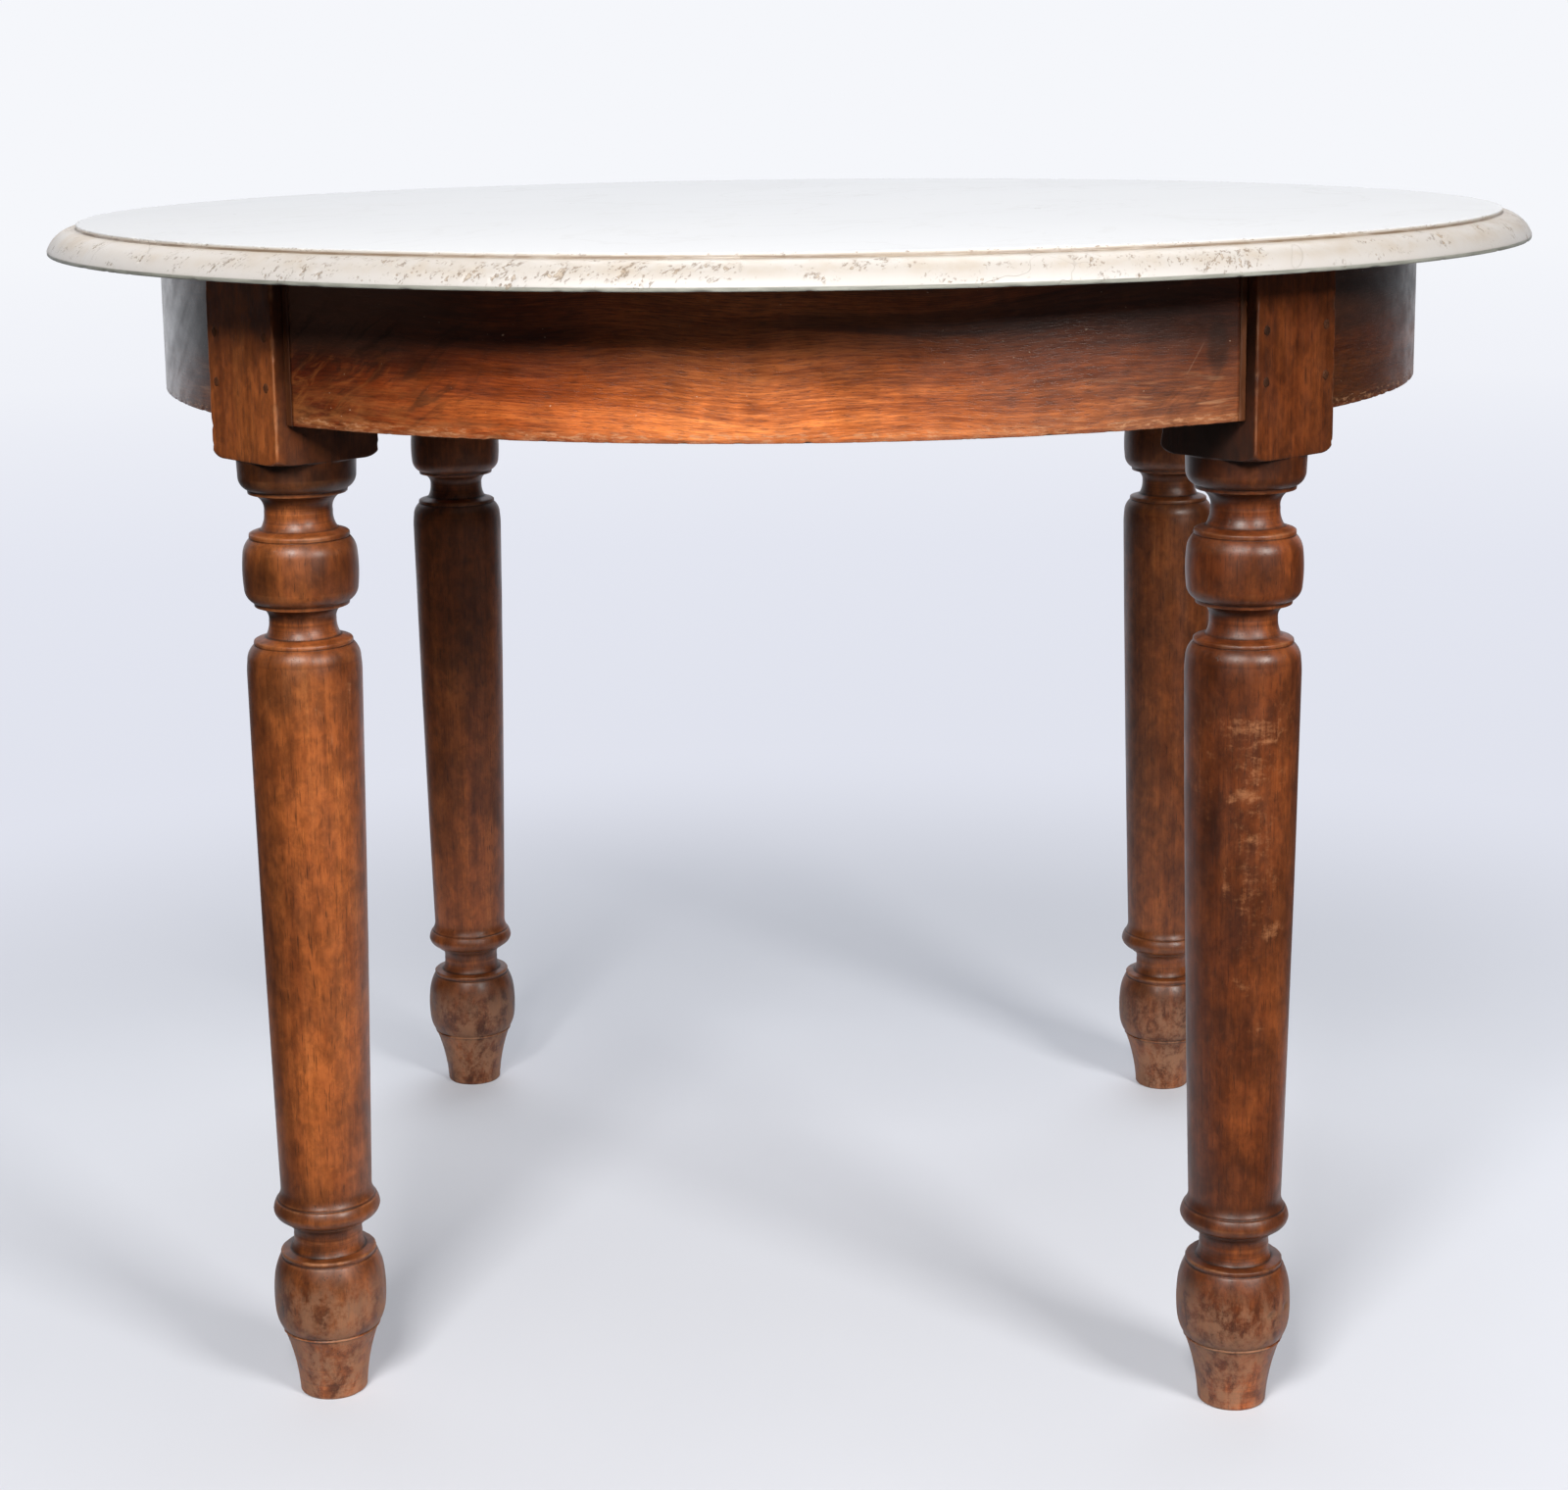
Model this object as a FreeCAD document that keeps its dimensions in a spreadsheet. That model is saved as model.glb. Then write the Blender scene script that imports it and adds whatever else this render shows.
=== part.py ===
import FreeCAD, Part
import math
import os

import Sketcher
from FreeCAD import Placement, Rotation, Vector

# Round table: loose stone top on a pegged frame of four turned legs and four
# curved rails.  Millimetres, +Z up, origin on the floor under the centre.
# The front rail faces -Y and the legs stand on the diagonals.

doc = FreeCAD.newDocument("round_table")
sheet = doc.addObject("Spreadsheet::Sheet", "dims")
VAL = {}


def dim(alias, value):
    row = len(VAL) + 1
    sheet.set("A%d" % row, alias.replace("_", " "))
    sheet.set("B%d" % row, "%.4f" % value)
    sheet.setAlias("B%d" % row, alias)
    VAL[alias] = round(float(value), 4)


# ---- overall -------------------------------------------------------------
dim("table_height", 762.0)
dim("slab_radius", 516.5)
dim("slab_thick", 20.0)
dim("pad_thick", 2.0)
dim("pad_radius", 15.0)

# ---- moulded edge of the slab (radii, and depths below the top face) ------
dim("edge_top_radius", 496.2)
dim("edge_top_round", 0.9)
dim("edge_step_radius", 496.9)
dim("edge_step_depth", 3.0)
dim("edge_quirk_radius", 498.2)
dim("edge_quirk_depth", 3.2)
dim("edge_ovolo_depth", 17.3)
dim("edge_ovolo_arc", 21.6)
dim("edge_strip_depth", 19.4)
dim("edge_foot_radius", 515.9)

# ---- leg block and its place ---------------------------------------------
dim("leg_pitch_radius", 419.5)
dim("block_half", 37.6)
dim("block_bottom", 624.0)
dim("block_top", 740.0)
dim("block_round_radius", 46.5)
dim("block_round_height", 7.0)
dim("block_round_arc", 8.5)
dim("block_reach", 60.0)
dim("block_arris", 1.2)

# ---- rails ----------------------------------------------------------------
# the arcs are struck from points past the middle of the table, so that the
# rails are flatter than the slab and meet the blocks near their outer faces
dim("rail_back", 50.0)
dim("core_outer", 488.0)
dim("core_inner", 464.0)
dim("core_bottom", 649.0)
dim("core_height", 91.0)
dim("veneer_inner", 488.05)
dim("veneer_outer", 490.0)
dim("veneer_gap", 5.5)
dim("strip_wide", 4.8)
dim("strip_thick", 2.3)
dim("strip_gap", 0.35)

# ---- mortise, tenon and pegs ------------------------------------------------
dim("tenon_in", 430.0)
dim("tenon_out", 440.0)
dim("tenon_long", 33.0)
dim("tenon_low", 660.0)
dim("tenon_tall", 68.0)
dim("mortise_slack", 0.1)
dim("peg_radius", 3.2)
dim("peg_hole_radius", 3.25)
dim("peg_long", 40.0)
dim("peg_proud", 0.4)
dim("peg_inset", 9.0)
dim("peg_low", 672.0)
dim("peg_high", 703.0)

# ---- bearers ----------------------------------------------------------------
dim("bearer_half_long", 427.8)
dim("bearer_half_wide", 30.0)
dim("bearer_thick", 20.0)
dim("housing_reach", 428.0)
dim("housing_half_wide", 30.1)
dim("lap_half", 30.1)
dim("lap_deep", 10.0)
dim("screw_reach", 421.0)
dim("screw_off", 15.0)
dim("screw_hole_radius", 2.3)
dim("screw_pilot_radius", 2.3)
dim("screw_pilot_deep", 46.0)
dim("screw_head_hole", 4.6)
dim("screw_head_deep", 3.6)
dim("screw_shank_radius", 2.2)
dim("screw_head_radius", 4.3)
dim("screw_head_thick", 2.4)
dim("screw_long", 40.0)
dim("screw_slot_half", 0.5)
dim("screw_slot_deep", 1.1)

# ---- glue blocks ------------------------------------------------------------
dim("glue_low", 654.0)
dim("glue_tall", 66.0)
dim("glue_arc", 463.9)
dim("glue_wide", 30.0)
dim("glue_leg_reach", 383.5)
dim("glue_nose", 7.0)

# ---- turned leg: height and radius of each corner of its outline --------------
# (name, height, radius, mid height, mid radius): a mid point makes the run
# that ends at this corner an arc.
TURN = [
    ("sole", 0.0, 20.8, None, None),
    ("sole_edge", 1.2, 22.0, None, None),
    ("foot_top", 44.0, 31.0, 23.0, 24.9),
    ("foot_lip", 44.9, 32.2, None, None),
    ("bulb_quirk", 45.9, 31.1, None, None),
    ("bulb_rise", 46.8, 32.3, None, None),
    ("bulb_low", 57.6, 36.0, 51.7, 34.6),
    ("bulb_mid", 80.0, 36.0, 68.5, 36.6),
    ("bulb_high", 94.6, 31.7, 88.0, 34.4),
    ("bulb_ring_low", 95.4, 30.7, None, None),
    ("bulb_ring", 98.0, 31.2, None, None),
    ("bulb_shelf", 98.8, 30.4, None, None),
    ("ankle_foot", 99.4, 24.3, None, None),
    ("ankle_mid", 109.0, 22.4, 103.2, 22.8),
    ("ankle_top", 118.2, 24.7, 115.4, 23.0),
    ("ankle_fillet_in", 118.6, 26.9, None, None),
    ("ankle_fillet", 120.2, 27.4, None, None),
    ("bead_low", 120.7, 28.6, None, None),
    ("bead_arris", 127.6, 34.8, 123.2, 32.7),
    ("bead_high", 133.6, 32.8, 130.8, 34.1),
    ("bead_ring_in", 134.2, 31.7, None, None),
    ("bead_ring", 135.4, 31.5, None, None),
    ("shaft_low", 142.0, 29.7, 138.2, 30.2),
    ("shaft_high", 484.0, 36.4, 318.0, 33.7),
    ("shoulder_top", 494.6, 35.9, 489.4, 36.35),
    ("shoulder_in", 504.4, 31.6, 500.8, 34.4),
    ("ring_a_quirk", 504.8, 30.9, None, None),
    ("ring_a_low", 505.3, 31.5, None, None),
    ("ring_a_high", 507.3, 31.2, None, None),
    ("ring_a_shelf", 507.9, 30.2, None, None),
    ("neck_a_low", 509.9, 23.8, None, None),
    ("neck_a_mid", 520.0, 21.3, 514.4, 21.9),
    ("neck_a_high", 529.2, 28.2, 526.2, 22.9),
    ("ring_b_low", 529.5, 30.0, None, None),
    ("ring_b_high", 532.2, 30.3, None, None),
    ("ball_low", 532.4, 31.2, None, None),
    ("ball_under", 541.0, 36.0, 535.4, 34.2),
    ("ball_over", 563.5, 36.0, 552.0, 36.6),
    ("ball_high", 572.6, 31.9, 569.3, 34.3),
    ("ring_c_quirk", 573.0, 31.1, None, None),
    ("ring_c_low", 573.5, 31.8, None, None),
    ("ring_c_high", 575.9, 31.6, None, None),
    ("ring_c_shelf", 576.5, 30.6, None, None),
    ("neck_b_low", 578.5, 24.5, None, None),
    ("neck_b_mid", 589.5, 21.6, 583.4, 22.2),
    ("neck_b_high", 601.2, 29.0, 597.4, 23.4),
    ("ring_d_low", 601.5, 31.2, None, None),
    ("ring_d_high", 604.2, 31.5, None, None),
    ("drum_low", 604.4, 32.4, None, None),
    ("drum_round", 613.0, 37.1, 607.4, 35.5),
    ("drum_top", 624.0, 37.6, None, None),
    ("stem_top", 700.0, 30.0, None, None),
]


def arc_radius(p, q, s):
    a = math.dist(q, s)
    b = math.dist(p, s)
    c = math.dist(p, q)
    area = abs((q[0] - p[0]) * (s[1] - p[1]) - (s[0] - p[0]) * (q[1] - p[1])) / 2.0
    return a * b * c / (4.0 * area)


_prev = None
for _name, _h, _r, _mh, _mr in TURN:
    if _h > 0.0:
        dim("turn_%s_up" % _name, _h)
    dim("turn_%s_rad" % _name, _r)
    if _mh is not None:
        dim("turn_%s_arc" % _name, arc_radius(_prev, (_mr, _mh), (_r, _h)))
    _prev = (_r, _h)

doc.recompute()


# ---- small builders -----------------------------------------------------------
def plane(body, role):
    for item in body.Origin.OriginFeatures:
        if item.Role == role:
            return item
    raise RuntimeError("no plane " + role)


def new_body(label):
    body = doc.addObject("PartDesign::Body", label)
    body.Label = label
    return body


def new_sketch(body, name, role, lift=None, turn=None):
    sk = body.newObject("Sketcher::SketchObject", name)
    sk.AttachmentSupport = [(plane(body, role), "")]
    sk.MapMode = "FlatFace"
    if turn is not None:
        sk.AttachmentOffset = Placement(Vector(0, 0, 0), Rotation(Vector(0, 1, 0), turn))
    if lift is not None:
        sk.setExpression(".AttachmentOffset.Base.z", lift)
    doc.recompute()
    return sk


def value(text):
    if isinstance(text, (int, float)):
        return float(text)
    names = dict(("dims_" + k, v) for k, v in VAL.items())
    total = 0.0
    sign = 1.0
    for word in text.replace("-", " - ").replace("+", " + ").split():
        if word == "+":
            sign = 1.0
        elif word == "-":
            sign = -1.0
        else:
            key = word.replace("dims.", "dims_")
            total += sign * (names[key] if key in names else float(word))
            sign = 1.0
    return total


def near(p, q):
    return abs(p.x - q[0]) < 1e-5 and abs(p.y - q[1]) < 1e-5


def outline(sk, corners):
    """Closed outline.  Each corner is (x, y) or (x, y, (mid_x, mid_y), arc):
    x, y and arc are sums of cells, and the mid point makes the run that ends
    at that corner an arc."""
    pts = [(value(c[0]), value(c[1])) for c in corners]
    count = len(corners)
    ends = []
    rules = []
    for i in range(count):
        j = (i + 1) % count
        a, b, nxt = pts[i], pts[j], corners[j]
        if len(nxt) > 2:
            mid = nxt[2]
            g = sk.addGeometry(Part.Arc(Vector(a[0], a[1], 0), Vector(mid[0], mid[1], 0), Vector(b[0], b[1], 0)), False)
            first = 1 if near(sk.getPoint(g, 1), a) else 2
            ends.append((g, first, 3 - first))
            rules.append((Sketcher.Constraint("Radius", g, value(nxt[3])), nxt[3]))
        else:
            g = sk.addGeometry(Part.LineSegment(Vector(a[0], a[1], 0), Vector(b[0], b[1], 0)), False)
            ends.append((g, 1, 2))
    for i in range(count):
        j = (i + 1) % count
        g, _, last = ends[i]
        h, start, _ = ends[j]
        rules.append((Sketcher.Constraint("Coincident", g, last, h, start), None))
    for i in range(count):
        g, start, _ = ends[i]
        for axis, kind, line in ((0, "DistanceX", -2), (1, "DistanceY", -1)):
            text = corners[i][axis]
            if isinstance(text, (int, float)):
                if text != 0:
                    raise RuntimeError("a free number in an outline")
                rules.append((Sketcher.Constraint("PointOnObject", g, start, line), None))
            else:
                rules.append((Sketcher.Constraint(kind, -1, 1, g, start, value(text)), text))
    sk.addConstraint([r[0] for r in rules])
    for index, (_, text) in enumerate(rules):
        if isinstance(text, str):
            sk.setExpression("Constraints[%d]" % index, text)
    doc.recompute()


def box_outline(sk, x0, y0, x1, y1):
    outline(sk, [(x0, y0), (x1, y0), (x1, y1), (x0, y1)])


def circles(sk, spots, radius):
    for x, y in spots:
        g = sk.addGeometry(Part.Circle(Vector(value(x), value(y), 0), Vector(0, 0, 1), value(radius)), False)
        base = sk.ConstraintCount
        rules = [
            Sketcher.Constraint("Radius", g, value(radius)),
            Sketcher.Constraint("DistanceX", -1, 1, g, 3, value(x)),
            Sketcher.Constraint("DistanceY", -1, 1, g, 3, value(y)),
        ]
        sk.addConstraint(rules)
        for k, text in enumerate((radius, x, y)):
            sk.setExpression("Constraints[%d]" % (base + k), text)
    doc.recompute()


def pad(body, sk, name, length):
    f = body.newObject("PartDesign::Pad", name)
    f.Profile = sk
    f.setExpression("Length", length)
    doc.recompute()
    return f


def cut(body, sk, name, length, away=False, both=False):
    before = body.Shape.Volume
    f = body.newObject("PartDesign::Pocket", name)
    f.Profile = sk
    f.Type = "Length"
    f.setExpression("Length", length)
    f.Reversed = away
    f.Midplane = both
    doc.recompute()
    if not body.Shape.Volume < before - 0.01:
        raise RuntimeError("%s cuts nothing" % name)
    return f


def spin(body, sk, name, groove=False):
    before = body.Shape.Volume if groove else 0.0
    f = body.newObject("PartDesign::Groove" if groove else "PartDesign::Revolution", name)
    f.Profile = sk
    f.ReferenceAxis = (sk, ["V_Axis"])
    f.Angle = 360.0
    doc.recompute()
    if groove and not body.Shape.Volume < before - 0.01:
        raise RuntimeError("%s cuts nothing" % name)
    return f


PARTS = []


def keep(obj, label):
    obj.Label = label
    PARTS.append(obj)
    return obj


def lines_at(sk, runs):
    """Closed outline of straight runs, each held by its slope and by its
    distance from the origin: (slope in degrees, distance cell, side)."""
    count = len(runs)
    lines = []
    for slope, reach, side in runs:
        a = math.radians(slope)
        n = (-math.sin(a) * side, math.cos(a) * side)
        lines.append((math.cos(a), math.sin(a), n[0] * value(reach), n[1] * value(reach)))
    pts = []
    for i in range(count):
        ax, ay, px, py = lines[i - 1]
        bx, by, qx, qy = lines[i]
        det = ax * by - ay * bx
        k = ((qx - px) * by - (qy - py) * bx) / det
        pts.append((px + ax * k, py + ay * k))
    geo = []
    for i in range(count):
        a, b = pts[i], pts[(i + 1) % count]
        geo.append(sk.addGeometry(Part.LineSegment(Vector(a[0], a[1], 0), Vector(b[0], b[1], 0)), False))
    rules = []
    for i in range(count):
        rules.append((Sketcher.Constraint("Coincident", geo[i], 2, geo[(i + 1) % count], 1), None))
        a, b = pts[i], pts[(i + 1) % count]
        rules.append((Sketcher.Constraint("Angle", geo[i], math.atan2(b[1] - a[1], b[0] - a[0])), None))
        rules.append((Sketcher.Constraint("Distance", -1, 1, geo[i], value(runs[i][1])), runs[i][1]))
    base = sk.ConstraintCount
    sk.addConstraint([r[0] for r in rules])
    for index, (_, text) in enumerate(rules):
        if text:
            sk.setExpression("Constraints[%d]" % (base + index), text)
    doc.recompute()


# ---- stone top ----------------------------------------------------------------
top = new_body("marble_top")
sk = new_sketch(top, "slab_outline", "XZ_Plane")
H = "dims.table_height"
_p0 = (VAL["edge_quirk_radius"], VAL["table_height"] - VAL["edge_quirk_depth"])
_p1 = (VAL["slab_radius"], VAL["table_height"] - VAL["edge_ovolo_depth"])
_c = ((_p0[0] + _p1[0]) / 2.0, (_p0[1] + _p1[1]) / 2.0)
_half = math.dist(_p0, _p1) / 2.0
_sag = VAL["edge_ovolo_arc"] - math.sqrt(VAL["edge_ovolo_arc"] ** 2 - _half ** 2)
_n = ((_p0[1] - _p1[1]) / (2 * _half), (_p1[0] - _p0[0]) / (2 * _half))
_ovolo_mid = (_c[0] + _n[0] * _sag, _c[1] + _n[1] * _sag)
outline(sk, [
    (0, H + " - dims.slab_thick"),
    ("dims.edge_foot_radius", H + " - dims.slab_thick"),
    ("dims.slab_radius", H + " - dims.edge_strip_depth"),
    ("dims.slab_radius", H + " - dims.edge_ovolo_depth"),
    ("dims.edge_quirk_radius", H + " - dims.edge_quirk_depth", _ovolo_mid, "dims.edge_ovolo_arc"),
    ("dims.edge_step_radius", H + " - dims.edge_step_depth"),
    ("dims.edge_step_radius", H + " - dims.edge_top_round"),
    ("dims.edge_top_radius", H),
    (0, H),
])
spin(top, sk, "slab_turn")
keep(top, "marble_top")


# ---- legs ---------------------------------------------------------------------
def leg(label, turn):
    body = new_body(label)
    sk = new_sketch(body, label + "_turning", "XZ_Plane")
    corners = [(0, 0)]
    for name, up, rad, mid_up, mid_rad in TURN:
        y = "dims.turn_%s_up" % name if up > 0.0 else 0
        x = "dims.turn_%s_rad" % name
        if mid_up is None:
            corners.append((x, y))
        else:
            corners.append((x, y, (mid_rad, mid_up), "dims.turn_%s_arc" % name))
    corners.append((0, "dims.turn_stem_top_up"))
    outline(sk, corners)
    spin(body, sk, label + "_spin")

    # square block round the top of the turned stem
    sk = new_sketch(body, label + "_square", "XY_Plane", lift="dims.block_bottom")
    box_outline(sk, "-dims.block_half", "-dims.block_half", "dims.block_half", "dims.block_half")
    pad(body, sk, label + "_block", "dims.block_top - dims.block_bottom")

    # the four lower corners of the block, rounded on the lathe
    sk = new_sketch(body, label + "_corner_cut", "XZ_Plane")
    lo = VAL["block_bottom"]
    r0, h0, arc = VAL["block_round_radius"], VAL["block_round_height"], VAL["block_round_arc"]
    r1 = VAL["block_half"] * math.sqrt(2.0)
    p, q = (r0, lo), (r1 + 0.2, lo + h0)
    half = math.dist(p, q) / 2.0
    sag = arc - math.sqrt(arc * arc - half * half)
    n = ((q[1] - p[1]) / (2 * half), -(q[0] - p[0]) / (2 * half))
    mid = ((p[0] + q[0]) / 2 + n[0] * sag, (p[1] + q[1]) / 2 + n[1] * sag)
    outline(sk, [
        ("dims.block_round_radius", "dims.block_bottom", mid, "dims.block_round_arc"),
        ("dims.block_reach", "dims.block_bottom"),
        ("dims.block_reach", "dims.block_bottom + dims.block_round_height"),
        ("dims.corner_reach", "dims.block_bottom + dims.block_round_height"),
    ])
    spin(body, sk, label + "_corner_round", groove=True)

    # upright mortise right through the block, between its two side faces
    sk = new_sketch(body, label + "_mortise_face", "XZ_Plane")
    box_outline(sk,
                "dims.tenon_in - dims.leg_pitch_radius - dims.mortise_slack",
                "dims.tenon_low - dims.mortise_slack",
                "dims.tenon_out - dims.leg_pitch_radius + dims.mortise_slack",
                "dims.tenon_low + dims.tenon_tall + dims.mortise_slack")
    cut(body, sk, label + "_mortise", "dims.block_half + dims.block_half + dims.block_half", both=True)

    # peg holes from the outer face through the mortise
    sk = new_sketch(body, label + "_peg_spots", "YZ_Plane",
                    lift="dims.block_half + dims.peg_proud - dims.peg_long - 0.2")
    spots = []
    for side in ("dims.block_half - dims.peg_inset", "dims.peg_inset - dims.block_half"):
        for up in ("dims.peg_low", "dims.peg_high"):
            spots.append((side, up))
    circles(sk, spots, "dims.peg_hole_radius")
    cut(body, sk, label + "_peg_holes", "dims.peg_long + 1.0", away=True)

    # eased upright arrises of the block
    edges = []
    for i, e in enumerate(body.Shape.Edges):
        a, b = e.Vertexes[0].Point, e.Vertexes[-1].Point
        if abs(a.x - b.x) < 1e-6 and abs(a.y - b.y) < 1e-6 and abs(a.z - b.z) > 90.0:
            if abs(abs(a.x) - VAL["block_half"]) < 1e-3 and abs(abs(a.y) - VAL["block_half"]) < 1e-3:
                edges.append("Edge%d" % (i + 1))
    if len(edges) != 4:
        raise RuntimeError("block arrises found: %d" % len(edges))
    tip = body.Tip
    f = body.newObject("PartDesign::Fillet", label + "_arrises")
    f.Base = (tip, edges)
    f.setExpression("Radius", "dims.block_arris")
    doc.recompute()

    a = math.radians(turn)
    body.Placement = Placement(
        Vector(VAL["leg_pitch_radius"] * math.cos(a), VAL["leg_pitch_radius"] * math.sin(a), 0),
        Rotation(Vector(0, 0, 1), turn))
    keep(body, label)


dim("corner_reach", VAL["block_half"] * math.sqrt(2.0) + 0.2)
doc.recompute()
LEGS = (("leg_front_left", -135.0), ("leg_front_right", -45.0), ("leg_back_right", 45.0), ("leg_back_left", 135.0))
for _label, _turn in LEGS:
    leg(_label, _turn)


# ---- curved rails: built-up core with tenons, and face veneer -------------------
def ring_ends(radius, off):
    k = math.sqrt(0.5)
    back = VAL["rail_back"] * k
    s = math.sqrt(radius * radius - (off + back) ** 2) - back
    return (k * (s + off), k * (s - off))


def ring_outline(sk, outer, inner, off):
    """A curved rail centred on +X, its ends cut square to the legs on the two
    diagonals, off to the side of each diagonal by the given cells."""
    ro, ri, b = value(outer), value(inner), value(off)
    back = VAL["rail_back"]
    o1, i1 = ring_ends(ro, b), ring_ends(ri, b)
    g0 = sk.addGeometry(Part.Arc(Vector(o1[0], -o1[1], 0), Vector(ro - back, 0, 0), Vector(o1[0], o1[1], 0)), False)
    g1 = sk.addGeometry(Part.LineSegment(Vector(o1[0], o1[1], 0), Vector(i1[0], i1[1], 0)), False)
    g2 = sk.addGeometry(Part.Arc(Vector(i1[0], -i1[1], 0), Vector(ri - back, 0, 0), Vector(i1[0], i1[1], 0)), False)
    g3 = sk.addGeometry(Part.LineSegment(Vector(i1[0], -i1[1], 0), Vector(o1[0], -o1[1], 0)), False)
    rules = [
        (Sketcher.Constraint("PointOnObject", g0, 3, -1), None),
        (Sketcher.Constraint("DistanceX", -1, 1, g0, 3, -back), "-dims.rail_back"),
        (Sketcher.Constraint("Coincident", g2, 3, g0, 3), None),
        (Sketcher.Constraint("Radius", g0, ro), outer),
        (Sketcher.Constraint("Radius", g2, ri), inner),
        (Sketcher.Constraint("Coincident", g0, 2, g1, 1), None),
        (Sketcher.Constraint("Coincident", g1, 2, g2, 2), None),
        (Sketcher.Constraint("Coincident", g2, 1, g3, 1), None),
        (Sketcher.Constraint("Coincident", g3, 2, g0, 1), None),
        (Sketcher.Constraint("Angle", g1, math.radians(-135.0)), None),
        (Sketcher.Constraint("Angle", g3, math.radians(-45.0)), None),
        (Sketcher.Constraint("Distance", -1, 1, g1, b), off),
        (Sketcher.Constraint("Distance", -1, 1, g3, b), off),
    ]
    sk.addConstraint([r[0] for r in rules])
    for index, (_, text) in enumerate(rules):
        if text:
            sk.setExpression("Constraints[%d]" % index, text)
    doc.recompute()


def rail(name, turn):
    label = "apron_core_" + name
    body = new_body(label)
    sk = new_sketch(body, label + "_plan", "XY_Plane", lift="dims.core_bottom")
    ring_outline(sk, "dims.core_outer", "dims.core_inner", "dims.block_half")
    pad(body, sk, label + "_ring", "dims.core_height")

    # a tenon on each end, square to the leg's side face
    for k, slope in (("far", 45.0), ("near", -45.0)):
        sk = new_sketch(body, "%s_tenon_plan_%s" % (label, k), "XY_Plane", lift="dims.tenon_low")
        s = 1.0 if slope > 0 else -1.0
        lines_at(sk, [
            (slope, "dims.block_half + 2.0", -s),
            (slope + 90.0, "dims.tenon_out", -1.0),
            (slope, "dims.block_half - dims.tenon_long", -s),
            (slope + 90.0, "dims.tenon_in", -1.0),
        ])
        pad(body, sk, "%s_tenon_%s" % (label, k), "dims.tenon_tall")

    # peg holes through the tenons, along each leg's diagonal
    for k, slope, side in (("far", 45.0, "dims.peg_inset - dims.block_half"),
                           ("near", -45.0, "dims.block_half - dims.peg_inset")):
        sk = new_sketch(body, "%s_peg_spots_%s" % (label, k), "YZ_Plane", turn=slope)
        circles(sk, [(side, "dims.peg_low"), (side, "dims.peg_high")], "dims.peg_hole_radius")
        cut(body, sk, "%s_peg_holes_%s" % (label, k), "dims.core_outer", away=True)

    # stopped housing for the bearer in the top edge, and its screw pilots
    sk = new_sketch(body, label + "_housing_plan", "XY_Plane", lift="dims.core_bottom + dims.core_height")
    box_outline(sk, "dims.core_inner - dims.rail_back - 12.0", "-dims.housing_half_wide", "dims.housing_reach", "dims.housing_half_wide")
    cut(body, sk, label + "_housing", "dims.bearer_thick")
    sk = new_sketch(body, label + "_pilot_plan", "XY_Plane", lift="dims.core_bottom + dims.core_height")
    circles(sk, [("dims.screw_reach", "dims.screw_off"), ("dims.screw_reach", "-dims.screw_off")],
            "dims.screw_pilot_radius")
    cut(body, sk, label + "_pilots", "dims.screw_pilot_deep")
    body.Placement = Placement(Vector(0, 0, 0), Rotation(Vector(0, 0, 1), turn))
    keep(body, label)

    label = "apron_veneer_" + name
    body = new_body(label)
    sk = new_sketch(body, label + "_plan", "XY_Plane", lift="dims.core_bottom")
    ring_outline(sk, "dims.veneer_outer", "dims.veneer_inner", "dims.block_half + dims.veneer_gap")
    pad(body, sk, label + "_sheet", "dims.core_height")
    body.Placement = Placement(Vector(0, 0, 0), Rotation(Vector(0, 0, 1), turn))
    keep(body, label)


RAILS = (("front", -90.0), ("right", 0.0), ("back", 90.0), ("left", 180.0))
for _name, _turn in RAILS:
    rail(_name, _turn)


# ---- upright strips on the rail faces, beside the blocks --------------------------
def group(label, members):
    obj = doc.addObject("Part::Compound", label)
    obj.Links = members
    doc.recompute()
    keep(obj, label)


strips = []
for _name, _turn in RAILS:
    for _k, _side in (("a", 1.0), ("b", -1.0)):
        bx = doc.addObject("Part::Box", "strip_%s_%s" % (_name, _k))
        bx.setExpression("Length", "dims.strip_thick")
        bx.setExpression("Width", "dims.strip_wide")
        bx.setExpression("Height", "dims.core_height")
        off = VAL["block_half"] + VAL["strip_gap"] + VAL["strip_wide"] / 2.0
        lean = (off + VAL["rail_back"] * math.sqrt(0.5)) / VAL["veneer_inner"]
        rot = Rotation(Vector(0, 0, 1), _turn + _side * (45.0 - math.degrees(math.asin(lean))))
        corner = Vector(VAL["veneer_inner"] + 0.02, -VAL["strip_wide"] / 2.0, VAL["core_bottom"])
        centre = Rotation(Vector(0, 0, 1), _turn).multVec(Vector(-VAL["rail_back"], 0, 0))
        bx.Placement = Placement(rot.multVec(corner) + centre, rot)
        strips.append(bx)
group("apron_end_strips", strips)

# ---- pegs ------------------------------------------------------------------------
pegs = []
for _label, _turn in LEGS:
    rot = Rotation(Vector(0, 0, 1), _turn)
    lay = rot.multiply(Rotation(Vector(0, 1, 0), 90.0))
    for side in (1.0, -1.0):
        for up in ("peg_low", "peg_high"):
            cyl = doc.addObject("Part::Cylinder", "peg_%d" % (len(pegs) + 1))
            cyl.setExpression("Radius", "dims.peg_radius")
            cyl.setExpression("Height", "dims.peg_long")
            start = VAL["leg_pitch_radius"] + VAL["block_half"] + VAL["peg_proud"] - VAL["peg_long"]
            at = rot.multVec(Vector(start, side * (VAL["block_half"] - VAL["peg_inset"]), VAL[up]))
            cyl.Placement = Placement(at, lay)
            pegs.append(cyl)
group("drawbore_pegs", pegs)


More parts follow.
